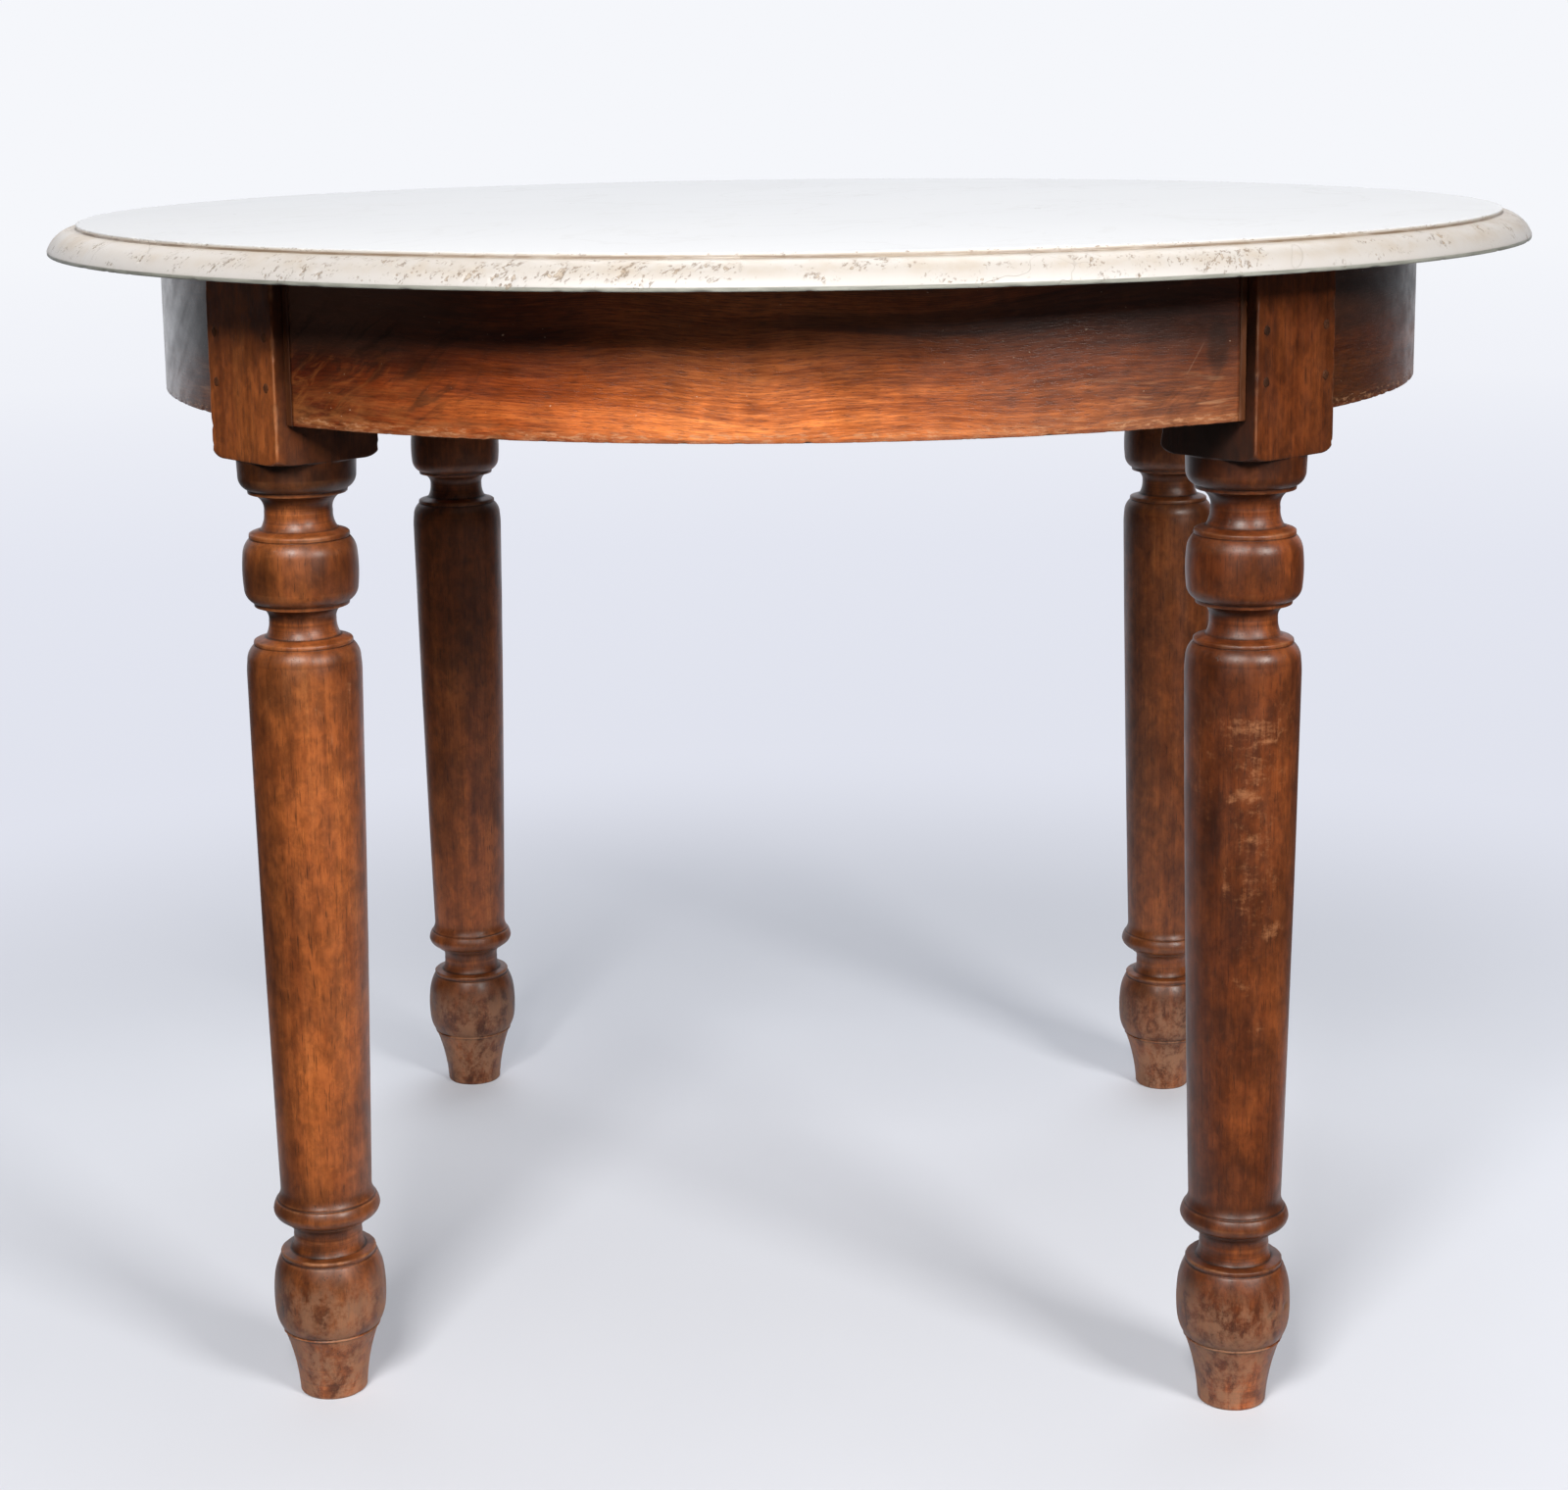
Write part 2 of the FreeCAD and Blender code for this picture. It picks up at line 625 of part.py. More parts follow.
# ---- glue blocks in the corners between leg and rail ---------------------------------
def glue_block(label, turn, side):
    body = new_body(label)
    sk = new_sketch(body, label + "_plan", "XY_Plane", lift="dims.glue_low")
    b = VAL["block_half"]
    w = VAL["glue_wide"]
    r = VAL["glue_arc"]
    s = "" if side > 0 else "-"
    y_in = s + "dims.block_half"
    y_out = "dims.block_half + dims.glue_wide" if side > 0 else "-dims.block_half - dims.glue_wide"
    y_nose = "dims.block_half + dims.glue_nose" if side > 0 else "-dims.block_half - dims.glue_nose"
    y_mid = b + w / 2.0
    back = VAL["rail_back"] * math.sqrt(0.5)
    mid = (math.sqrt(r * r - (y_mid + back) ** 2) - back, side * y_mid)
    outline(sk, [
        ("dims.glue_leg_reach", y_in),
        ("dims.glue_corner", y_in),
        ("dims.glue_end", y_out, mid, "dims.glue_arc"),
        ("dims.glue_end - dims.glue_nose", y_out),
        ("dims.glue_leg_reach", y_nose),
    ])
    pad(body, sk, label + "_pad", "dims.glue_tall")
    body.Placement = Placement(Vector(0, 0, 0), Rotation(Vector(0, 0, 1), turn))
    keep(body, label)


_r = VAL["glue_arc"]
_b = VAL["block_half"]
_k = VAL["rail_back"] * math.sqrt(0.5)
dim("glue_corner", math.sqrt(_r * _r - (_b + _k) ** 2) - _k)
dim("glue_end", math.sqrt(_r * _r - (_b + VAL["glue_wide"] + _k) ** 2) - _k)
doc.recompute()
for _label, _turn in LEGS:
    spot = _label[4:]
    glue_block("glue_block_%s_a" % spot, _turn, 1.0)
    glue_block("glue_block_%s_b" % spot, _turn, -1.0)


# ---- bearers under the slab -----------------------------------------------------------
def bearer(label, turn, from_top):
    body = new_body(label)
    sk = new_sketch(body, label + "_plan", "XY_Plane", lift="dims.block_top - dims.bearer_thick")
    box_outline(sk, "-dims.bearer_half_long", "-dims.bearer_half_wide", "dims.bearer_half_long", "dims.bearer_half_wide")
    pad(body, sk, label + "_board", "dims.bearer_thick")
    # half-lap at the middle
    sk = new_sketch(body, label + "_lap_plan", "XY_Plane",
                    lift="dims.block_top" if from_top else "dims.block_top - dims.bearer_thick")
    box_outline(sk, "-dims.lap_half", "-dims.lap_half", "dims.lap_half", "dims.lap_half")
    cut(body, sk, label + "_lap", "dims.lap_deep", away=not from_top)
    # screw holes with a flat seat for each head
    spots = []
    for x in ("dims.screw_reach", "-dims.screw_reach"):
        for y in ("dims.screw_off", "-dims.screw_off"):
            spots.append((x, y))
    sk = new_sketch(body, label + "_screw_plan", "XY_Plane", lift="dims.block_top")
    circles(sk, spots, "dims.screw_hole_radius")
    cut(body, sk, label + "_screw_holes", "dims.bearer_thick + 1.0")
    sk = new_sketch(body, label + "_seat_plan", "XY_Plane", lift="dims.block_top")
    circles(sk, spots, "dims.screw_head_hole")
    cut(body, sk, label + "_screw_seats", "dims.screw_head_deep")
    body.Placement = Placement(Vector(0, 0, 0), Rotation(Vector(0, 0, 1), turn))
    keep(body, label)


bearer("bearer_side_to_side", 0.0, True)
bearer("bearer_front_to_back", 90.0, False)

# ---- slotted screws that hold the bearers down -------------------------------------------
blank = new_body("screw_blank")
sk = new_sketch(blank, "screw_outline", "XZ_Plane")
outline(sk, [
    (0, "-dims.screw_long"),
    ("dims.screw_shank_radius", "dims.screw_shank_radius + dims.screw_shank_radius - dims.screw_long"),
    ("dims.screw_shank_radius", 0),
    ("dims.screw_head_radius", 0),
    ("dims.screw_head_radius", "dims.screw_head_thick"),
    (0, "dims.screw_head_thick"),
])
spin(blank, sk, "screw_turn")
sk = new_sketch(blank, "screw_slot_plan", "XY_Plane", lift="dims.screw_head_thick")
box_outline(sk, "-dims.screw_head_radius - 1.0", "-dims.screw_slot_half", "dims.screw_head_radius + 1.0", "dims.screw_slot_half")
cut(blank, sk, "screw_slot", "dims.screw_slot_deep")

copies = []
for _name, _turn in RAILS:
    for k, y in enumerate((VAL["screw_off"], -VAL["screw_off"])):
        s = blank.Shape.copy()
        rot = Rotation(Vector(0, 0, 1), _turn)
        at = rot.multVec(Vector(VAL["screw_reach"], y, VAL["block_top"] - VAL["screw_head_deep"]))
        s.Placement = Placement(at, Rotation(Vector(0, 0, 1), _turn + 35.0 + 50.0 * k))
        copies.append(s)
screws = doc.addObject("Part::Feature", "bearer_screws")
screws.Shape = Part.makeCompound(copies)
screws.Placement = Placement()
keep(screws, "bearer_screws")

# ---- cork pads between frame and slab -----------------------------------------------------
pads = []
for _label, _turn in LEGS + (("middle", None),):
    cyl = doc.addObject("Part::Cylinder", "pad_" + _label)
    cyl.setExpression("Radius", "dims.pad_radius")
    cyl.setExpression("Height", "dims.pad_thick")
    at = Vector(0, 0, VAL["block_top"])
    if _turn is not None:
        a = math.radians(_turn)
        at = Vector((VAL["leg_pitch_radius"] - 14.0) * math.cos(a), (VAL["leg_pitch_radius"] - 14.0) * math.sin(a), VAL["block_top"])
    cyl.Placement = Placement(at, Rotation())
    pads.append(cyl)
group("top_pads", pads)

# ---- test every object, then write the pieces -----------------------------------------------
doc.recompute()
for obj in doc.Objects:
    if "Invalid" in obj.State or "Error" in obj.State:
        raise RuntimeError("%s failed: %s" % (obj.Name, obj.State))
for obj in PARTS:
    if obj.Shape.isNull() or not obj.Shape.isValid():
        raise RuntimeError("%s has no valid shape" % obj.Label)

os.makedirs("parts", exist_ok=True)
for obj in PARTS:
    obj.Shape.exportStep("parts/%s.step" % obj.Label)
    print("%-26s solids %2d  volume %12.1f" % (obj.Label, len(obj.Shape.Solids), obj.Shape.Volume))
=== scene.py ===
import math

import bpy
import numpy as np
from mathutils import Matrix, Vector


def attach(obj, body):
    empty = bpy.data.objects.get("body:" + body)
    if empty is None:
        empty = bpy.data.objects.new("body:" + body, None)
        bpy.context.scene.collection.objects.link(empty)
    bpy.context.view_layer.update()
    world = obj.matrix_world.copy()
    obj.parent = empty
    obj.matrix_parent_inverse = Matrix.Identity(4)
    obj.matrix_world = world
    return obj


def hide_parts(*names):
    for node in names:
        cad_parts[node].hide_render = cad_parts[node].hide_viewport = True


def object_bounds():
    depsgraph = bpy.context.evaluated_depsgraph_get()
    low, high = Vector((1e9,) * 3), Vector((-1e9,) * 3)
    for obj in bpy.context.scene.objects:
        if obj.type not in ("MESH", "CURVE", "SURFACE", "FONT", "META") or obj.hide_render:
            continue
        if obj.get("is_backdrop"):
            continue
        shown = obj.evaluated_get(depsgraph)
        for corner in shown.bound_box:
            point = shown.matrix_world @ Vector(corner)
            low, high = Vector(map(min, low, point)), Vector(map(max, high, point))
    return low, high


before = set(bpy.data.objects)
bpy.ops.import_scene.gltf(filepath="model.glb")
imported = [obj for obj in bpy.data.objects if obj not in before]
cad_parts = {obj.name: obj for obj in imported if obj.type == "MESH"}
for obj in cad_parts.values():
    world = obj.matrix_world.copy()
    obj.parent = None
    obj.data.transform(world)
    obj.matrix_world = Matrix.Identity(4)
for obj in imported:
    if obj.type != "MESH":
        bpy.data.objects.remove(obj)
CAD_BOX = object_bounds()
MM = 0.001


# ---------------------------------------------------------------------------
# Numbers: smooth lattice noise for the small irregularities of old work
# ---------------------------------------------------------------------------
def lattice(ix, iy, iz, seed):
    h = (ix * 374761393 + iy * 668265263 + iz * 1440662683 + seed * 974711411) & 0xFFFFFFFF
    h = ((h ^ (h >> 13)) * 1274126177) & 0xFFFFFFFF
    h = ((h ^ (h >> 15)) * 668265263) & 0xFFFFFFFF
    return (h ^ (h >> 16)) / 4294967295.0


def vnoise(x, y, z, seed=0):
    x, y, z = np.broadcast_arrays(np.asarray(x, float), np.asarray(y, float), np.asarray(z, float))
    ix, iy, iz = (np.floor(c).astype(np.int64) for c in (x, y, z))
    fx, fy, fz = x - ix, y - iy, z - iz
    fx, fy, fz = (f * f * f * (f * (f * 6 - 15) + 10) for f in (fx, fy, fz))
    out = np.zeros(x.shape)
    for dx in (0, 1):
        for dy in (0, 1):
            for dz in (0, 1):
                w = (fx if dx else 1 - fx) * (fy if dy else 1 - fy) * (fz if dz else 1 - fz)
                out += w * lattice(ix + dx, iy + dy, iz + dz, seed)
    return out * 2 - 1


def fbm(x, y, z, seed=0, octaves=3):
    total, amp, norm = 0.0, 1.0, 0.0
    for k in range(octaves):
        m = 2.0 ** k
        total = total + amp * vnoise(np.asarray(x) * m, np.asarray(y) * m, np.asarray(z) * m, seed + 31 * k)
        norm += amp
        amp *= 0.5
    return total / norm


def smooth(v, lo, hi):
    t = np.clip((np.asarray(v, float) - lo) / (hi - lo), 0, 1)
    return t * t * (3 - 2 * t)


# ---------------------------------------------------------------------------
# Outlines
# ---------------------------------------------------------------------------
def arc_run(p, m, q, step):
    """Points after p on the circle through p, m and q, up to q."""
    (ax, ay), (bx, by), (cx, cy) = p, m, q
    d = 2 * (ax * (by - cy) + bx * (cy - ay) + cx * (ay - by))
    ux = ((ax * ax + ay * ay) * (by - cy) + (bx * bx + by * by) * (cy - ay) + (cx * cx + cy * cy) * (ay - by)) / d
    uy = ((ax * ax + ay * ay) * (cx - bx) + (bx * bx + by * by) * (ax - cx) + (cx * cx + cy * cy) * (bx - ax)) / d
    rad = math.hypot(ax - ux, ay - uy)
    a0 = math.atan2(ay - uy, ax - ux)
    go_m = (math.atan2(by - uy, bx - ux) - a0) % (2 * math.pi)
    go_q = (math.atan2(cy - uy, cx - ux) - a0) % (2 * math.pi)
    sweep = go_q if go_m < go_q else go_q - 2 * math.pi
    n = max(3, int(math.ceil(abs(sweep) * rad / step)))
    return [(ux + rad * math.cos(a0 + sweep * k / n), uy + rad * math.sin(a0 + sweep * k / n)) for k in range(1, n + 1)]


def line_run(p, q, step):
    n = max(1, int(math.ceil(math.dist(p, q) / step)))
    return [(p[0] + (q[0] - p[0]) * k / n, p[1] + (q[1] - p[1]) * k / n) for k in range(1, n + 1)]


def ease(points, reach=0.4, turn=20.0):
    """Rounds the corners of a polyline as use and polish do."""
    out = [points[0]]
    for k in range(1, len(points) - 1):
        p, q, s = (np.array(points[j], float) for j in (k - 1, k, k + 1))
        a, b = q - p, s - q
        la, lb = np.hypot(*a), np.hypot(*b)
        a, b = a / la, b / lb
        bend = math.degrees(math.acos(max(-1.0, min(1.0, float(a @ b)))))
        if bend < turn:
            out.append(tuple(q))
            continue
        da, db = min(reach, 0.42 * la), min(reach, 0.42 * lb)
        i, o = q - a * da, q + b * db
        out += [tuple(i), tuple((i + 2 * q + o) / 4), tuple(o)]
    out.append(points[-1])
    return out


# ---------------------------------------------------------------------------
# Meshes
# ---------------------------------------------------------------------------
def make_object(name, verts, faces, point=None, uv=None):
    """verts in mm.  point: {attribute: values or vectors per vertex}.
    uv: one (u, v) per face corner, in face order."""
    me = bpy.data.meshes.new(name)
    me.from_pydata((np.asarray(verts, float) * MM).tolist(), [], faces)
    for key, values in (point or {}).items():
        values = np.asarray(values, np.float32)
        if values.ndim == 1:
            me.attributes.new(key, "FLOAT", "POINT").data.foreach_set("value", values)
        else:
            me.attributes.new(key, "FLOAT_VECTOR", "POINT").data.foreach_set("vector", values.ravel())
    if uv is not None:
        layer = me.uv_layers.new(name="OFBake")
        layer.data.foreach_set("uv", np.asarray(uv, np.float32).ravel())
    me.polygons.foreach_set("use_smooth", [True] * len(me.polygons))
    me.validate()
    me.update()
    ob = bpy.data.objects.new(name, me)
    bpy.context.scene.collection.objects.link(ob)
    return ob


def grid_faces(rows, cols, wrap, first=0):
    """Quads of a rows x cols grid, row by row, seen from outside when rows
    run up and columns run anticlockwise."""
    faces = []
    last = cols if wrap else cols - 1
    for j in range(rows - 1):
        a, b = first + j * cols, first + (j + 1) * cols
        for i in range(last):
            k = (i + 1) % cols
            faces.append((a + i, a + k, b + k, b + i))
    return faces


def place(ob, node, body, mat):
    nodes = node if isinstance(node, (list, tuple)) else [node]
    ob.data.materials.append(mat)
    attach(ob, body)
    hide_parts(*nodes)
    return ob


# ---------------------------------------------------------------------------
# Node materials
# ---------------------------------------------------------------------------
class Looks:
    def __init__(self, name):
        self.mat = bpy.data.materials.new(name)
        self.mat.use_nodes = True
        self.t = self.mat.node_tree
        self.t.nodes.clear()

    def put(self, socket, v):
        if isinstance(v, bpy.types.NodeSocket):
            self.t.links.new(v, socket)
        elif isinstance(v, (tuple, list)) and len(v) == 3 and socket.type == "RGBA":
            socket.default_value = (*v, 1.0)
        else:
            socket.default_value = v

    def new(self, kind, ins=None, **props):
        n = self.t.nodes.new(kind)
        for k, v in props.items():
            setattr(n, k, v)
        for k, v in (ins or {}).items():
            self.put(n.inputs[k], v)
        return n

    def vec(self, name):
        return self.new("ShaderNodeAttribute", attribute_name=name).outputs["Vector"]

    def val(self, name):
        return self.new("ShaderNodeAttribute", attribute_name=name).outputs["Fac"]

    def obj(self):
        return self.new("ShaderNodeTexCoord").outputs["Object"]

    def xyz(self, v):
        return self.new("ShaderNodeSeparateXYZ", {0: v}).outputs

    def join(self, x, y, z):
        return self.new("ShaderNodeCombineXYZ", {0: x, 1: y, 2: z}).outputs[0]

    def map(self, v, scale=(1, 1, 1), loc=(0, 0, 0), rot=(0, 0, 0)):
        return self.new("ShaderNodeMapping", {"Vector": v, "Location": loc, "Rotation": rot, "Scale": scale}).outputs[0]

    def noise(self, v, scale=1.0, detail=2.0, rough=0.5, dist=0.0):
        return self.new("ShaderNodeTexNoise", {"Vector": v, "Scale": scale, "Detail": detail, "Roughness": rough,
                                               "Distortion": dist}).outputs[0]

    def cells(self, v, scale=1.0, feature="F1", out="Distance"):
        return self.new("ShaderNodeTexVoronoi", {"Vector": v, "Scale": scale}, feature=feature).outputs[out]

    def wave(self, v, scale, dist=0.0, detail=2.0, dscale=1.0, rough=0.5, axis="X"):
        return self.new("ShaderNodeTexWave", {"Vector": v, "Scale": scale, "Distortion": dist, "Detail": detail,
                                              "Detail Scale": dscale, "Detail Roughness": rough},
                        wave_type="BANDS", bands_direction=axis, wave_profile="SIN").outputs["Fac"]

    def math(self, op, a, b=0.0, c=0.0, clamp=False):
        n = self.new("ShaderNodeMath", {0: a, 1: b}, operation=op, use_clamp=clamp)
        if op in ("MULTIPLY_ADD", "COMPARE", "SMOOTH_MIN", "SMOOTH_MAX", "WRAP"):
            self.put(n.inputs[2], c)
        return n.outputs[0]

    def mul(self, a, b):
        return self.math("MULTIPLY", a, b)

    def add(self, a, b):
        return self.math("ADD", a, b)

    def sub(self, a, b):
        return self.math("SUBTRACT", a, b)

    def most(self, a, b):
        return self.math("MAXIMUM", a, b)

    def sat(self, a):
        return self.math("ADD", a, 0.0, clamp=True)

    def rng(self, v, a, b, c=0.0, d=1.0, soft=True):
        return self.new("ShaderNodeMapRange", {"Value": v, "From Min": a, "From Max": b, "To Min": c, "To Max": d},
                        interpolation_type="SMOOTHSTEP" if soft else "LINEAR", clamp=True).outputs[0]

    def ramp(self, fac, stops):
        n = self.new("ShaderNodeValToRGB", {0: fac})
        els = n.color_ramp.elements
        while len(els) < len(stops):
            els.new(0.5)
        for e, (at, col) in zip(els, stops):
            e.position = at
        for e, (at, col) in zip(els, stops):
            e.color = (*col, 1.0)
        return n.outputs[0]

    def mix(self, fac, a, b, mode="MIX"):
        n = self.new("ShaderNodeMix", data_type="RGBA", blend_type=mode)
        self.put(n.inputs[0], fac)
        self.put(n.inputs[6], a)
        self.put(n.inputs[7], b)
        return n.outputs[2]

    def shade(self, col, by):
        """Colour times a grey value."""
        n = self.new("ShaderNodeVectorMath", {0: col, 1: self.join(by, by, by)}, operation="MULTIPLY")
        return n.outputs[0]

    def bump(self, height, depth, strength=1.0, normal=None):
        n = self.new("ShaderNodeBump", {"Height": height, "Distance": depth, "Strength": strength})
        if normal is not None:
            self.put(n.inputs["Normal"], normal)
        return n.outputs[0]

    def finish(self, colour, rough, normal=None, **sockets):
        b = self.new("ShaderNodeBsdfPrincipled", {"Base Color": colour, "Roughness": rough})
        if normal is not None:
            self.put(b.inputs["Normal"], normal)
        for k, v in sockets.items():
            self.put(b.inputs[k.replace("_", " ")], v)
        self.t.links.new(b.outputs[0], self.new("ShaderNodeOutputMaterial").inputs[0])
        return self.mat


# ---------------------------------------------------------------------------
# Turned and polished leg wood
# ---------------------------------------------------------------------------
def leg_material(name, offset, light=1.0, red=0.0, stained=0.5):
    k = Looks(name)
    p = k.vec("lc")                                   # metres, z along the grain
    cy = k.vec("cy")                                  # metres round the leg, height, radius
    wear, dirt_and_shade, polish_and_shade, rubbed, dust = k.val("wear"), k.val("dirt_and_shade"), k.val("tone"), k.val("rub"), k.val("dust")
    girth = k.xyz(cy)[2]
    lo = (offset, offset * 0.7, offset * 0.3)

    figure = k.noise(k.map(p, (15, 15, 1.6), lo), 1, 3, 0.55, 0.6)
    soft = k.noise(k.map(p, (105, 105, 4.0), lo), 1, 3, 0.6, 0.2)
    streak = k.noise(k.map(p, (430, 430, 11), lo), 1, 3, 0.6)
    blotch = k.noise(k.map(p, (38, 38, 24), lo), 1, 4, 0.64, 0.5)
    pores = k.rng(k.noise(k.map(p, (1150, 1150, 62), lo), 1, 2, 0.6), 0.58, 0.70)
    stain = k.noise(k.map(p, (20, 20, 11), lo), 1, 4, 0.6, 0.3)

    tone = k.add(k.add(k.mul(figure, 0.34), k.mul(blotch, 0.30)), k.add(k.mul(soft, 0.22), k.mul(streak, 0.14)))
    colour = k.ramp(tone, [
        (0.36, (0.110 * light, 0.0255 * light, 0.0060 * light)),
        (0.46, (0.205 * light, 0.0530 * light, 0.0125 * light)),
        (0.54, (0.300 * light, 0.0830 * light, 0.0195 * light)),
        (0.66, (0.430 * light, 0.1380 * light, 0.0370 * light)),
    ])
    if red:
        colour = k.mix(red, colour, (1.0, 0.72, 0.72), "MULTIPLY")
    mottle = k.noise(k.map(p, (125, 125, 80), lo), 1, 4, 0.70, 0.3)
    colour = k.shade(colour, k.rng(mottle, 0.34, 0.66, 0.72, 1.20))
    # fine rings left by the turning, in the necks
    lathe = k.noise(k.map(cy, (5, 900, 0), lo), 1, 3, 0.6)
    colour = k.shade(colour, k.add(k.mul(k.mul(k.rng(girth, 0.0285, 0.0240), k.sub(lathe, 0.5)), 1.3), 1.0))
    # cloudy old polish: darker where it has gathered
    colour = k.shade(colour, k.rng(stain, 0.34, 0.62, 1.0 - 0.72 * stained, 1.12))
    # polish tone by height, with painted shade under the block and on the shelf
    colour = k.shade(colour, polish_and_shade)
    colour = k.mix(k.mul(pores, 0.62), colour, (0.022, 0.0075, 0.003))

    # rubbed places: edges of the rings and block, and knocks across the grain
    spots = k.noise(k.map(p, (75, 75, 40), lo), 1, 4, 0.7)
    rub = k.sat(k.mul(wear, k.rng(spots, 0.34, 0.62)))
    colour = k.mix(k.mul(rub, 0.62), colour, (0.400 * light, 0.165 * light, 0.066 * light))
    crumb = k.noise(k.map(cy, (300, 380, 0), lo), 1, 4, 0.68, 0.3)
    comb = k.noise(k.map(cy, (560, 60, 0), lo), 1, 3, 0.65, 0.2)
    cross = k.noise(k.map(cy, (100, 190, 0), lo), 1, 4, 0.62, 0.6)
    scuff = k.add(k.add(rubbed, k.mul(k.sub(cross, 0.5), 1.3)), k.add(k.mul(k.sub(crumb, 0.5), 1.2), k.mul(k.sub(comb, 0.5), 0.9)))
    scuff = k.mul(k.rng(scuff, 0.30, 1.15), k.sat(k.mul(rubbed, 3.0)))
    colour = k.mix(k.mul(scuff, 0.68), colour, (0.360, 0.142, 0.056))
    worn = k.sat(k.most(rub, scuff))

    # grime in the quirks, with painted shade in the quirks and hollows and on the block under the top and in the recess
    # beside the rail
    hollow_grime_and_shade = k.sat(k.mul(dirt_and_shade, k.rng(stain, 0.2, 0.7, 1.15, 0.6)))
    colour = k.mix(k.mul(hollow_grime_and_shade, 0.92), colour, (0.013, 0.0052, 0.0030))

    # feet: floor dust and mop marks have dulled them
    patch = k.noise(k.map(p, (82, 82, 58), (offset + 2.2, offset, 0.6)), 1, 5, 0.70, 0.4)
    dusty = k.mul(dust, k.rng(k.add(k.mul(patch, 0.60), k.add(k.mul(crumb, 0.22), k.mul(spots, 0.18))), 0.43, 0.57))
    colour = k.shade(colour, k.sub(1.0, k.mul(dust, k.rng(patch, 0.46, 0.36, 0.0, 0.34))))
    colour = k.mix(k.mul(dusty, 0.56), colour, (0.345, 0.178, 0.098))

    gloss = k.noise(k.map(p, (70, 70, 26), lo), 1, 3, 0.6)
    rough = k.add(k.rng(gloss, 0.3, 0.7, 0.33, 0.45), k.mul(worn, 0.14))
    rough = k.add(rough, k.add(k.mul(dusty, 0.26), k.mul(hollow_grime_and_shade, 0.15)))
    n = k.bump(k.add(k.mul(streak, 0.35), k.mul(pores, -0.8)), 0.00010, 0.5)
    n = k.bump(k.add(k.mul(worn, -0.6), k.add(k.mul(spots, 0.4), k.mul(k.mul(lathe, k.rng(girth, 0.0285, 0.0240)), 0.4))), 0.00022, 0.35, n)
    return k.finish(colour, rough, n, Specular_IOR_Level=0.45)


TURN = [
    (0.0, 20.8, None, None), (1.2, 22.0, None, None), (44.0, 31.0, 23.0, 24.9), (44.9, 32.2, None, None),
    (45.9, 31.1, None, None), (46.8, 32.3, None, None), (57.6, 36.0, 51.7, 34.6), (80.0, 36.0, 68.5, 36.6),
    (94.6, 31.7, 88.0, 34.4), (95.4, 30.7, None, None), (98.0, 31.2, None, None), (98.8, 30.4, None, None),
    (99.4, 24.3, None, None), (109.0, 22.4, 103.2, 22.8), (118.2, 24.7, 115.4, 23.0), (118.6, 26.9, None, None),
    (120.2, 27.4, None, None), (120.7, 28.6, None, None), (127.6, 34.8, 123.2, 32.7), (133.6, 32.8, 130.8, 34.1),
    (134.2, 31.7, None, None), (135.4, 31.5, None, None), (142.0, 29.7, 138.2, 30.2), (484.0, 36.4, 318.0, 33.7), (494.6, 35.9, 489.4, 36.35), (504.4, 31.6, 500.8, 34.4),
    (504.8, 30.9, None, None), (505.3, 31.5, None, None), (507.3, 31.2, None, None), (507.9, 30.2, None, None),
    (509.9, 23.8, None, None), (520.0, 21.3, 514.4, 21.9), (529.2, 28.2, 526.2, 22.9), (529.5, 30.0, None, None),
    (532.2, 30.3, None, None), (532.4, 31.2, None, None), (541.0, 36.0, 535.4, 34.2), (563.5, 36.0, 552.0, 36.6),
    (572.6, 31.9, 569.3, 34.3), (573.0, 31.1, None, None), (573.5, 31.8, None, None), (575.9, 31.6, None, None),
    (576.5, 30.6, None, None), (578.5, 24.5, None, None), (589.5, 21.6, 583.4, 22.2), (601.2, 29.0, 597.4, 23.4),
    (601.5, 31.2, None, None), (604.2, 31.5, None, None), (604.4, 32.4, None, None), (613.0, 37.1, 607.4, 35.5),
    (623.7, 37.55, None, None),
]
BLOCK, BLOCK_LOW, BLOCK_TOP = 37.6, 624.0, 740.0


def turned_rows():
    pts = [(TURN[0][1], TURN[0][0])]
    for z, r, mz, mr in TURN[1:]:
        p, q = pts[-1], (r, z)
        if mz is None:
            pts += line_run(p, q, 1.3)
        else:
            step = 3.0 if q[1] - p[1] > 100 else 1.05
            pts += arc_run(p, (mr, mz), q, step)
    return ease(pts, 0.38)


def hollows(rows):
    """How proud (+) or sunk (-) each row is against its surroundings along the
    outline, on a small and on a larger scale, in mm."""
    rows = np.array(rows)
    t = np.r_[0, np.cumsum(np.hypot(*np.diff(rows, axis=0).T))]
    fine = np.arange(0, t[-1], 0.1)
    fr, fz = np.interp(fine, t, rows[:, 0]), np.interp(fine, t, rows[:, 1])
    d = np.gradient(rows, t, axis=0)
    d /= np.hypot(*d.T)[:, None]
    out = []
    for w in (1.3, 6.0):
        span = int(w / 0.1)
        box = np.ones(2 * span + 1) / (2 * span + 1)
        mr = np.convolve(np.pad(fr, span, mode="edge"), box, "valid")
        mz = np.convolve(np.pad(fz, span, mode="edge"), box, "valid")
        gap_r = rows[:, 0] - np.interp(t, fine, mr)
        gap_z = rows[:, 1] - np.interp(t, fine, mz)
        out.append(gap_r * d[:, 1] - gap_z * d[:, 0])
    return t, out[0], out[1]


def block_columns():
    near = [0.0, 0.32, 0.66, 1.02, 1.45, 2.05, 2.9, 4.1]
    side = [-BLOCK + v for v in near]
    inner = np.linspace(-BLOCK + 6.0, BLOCK - 6.0, 25)
    side += list(inner) + [BLOCK - v for v in reversed(near[1:])]
    ang = []
    for q in range(4):
        ang += [math.atan2(t, BLOCK) + q * math.pi / 2 for t in side]
    ang = np.array(ang)
    # starts at the inner face's middle, where the seam is least seen
    ang = np.sort((ang + math.pi) % (2 * math.pi)) - math.pi
    return ang


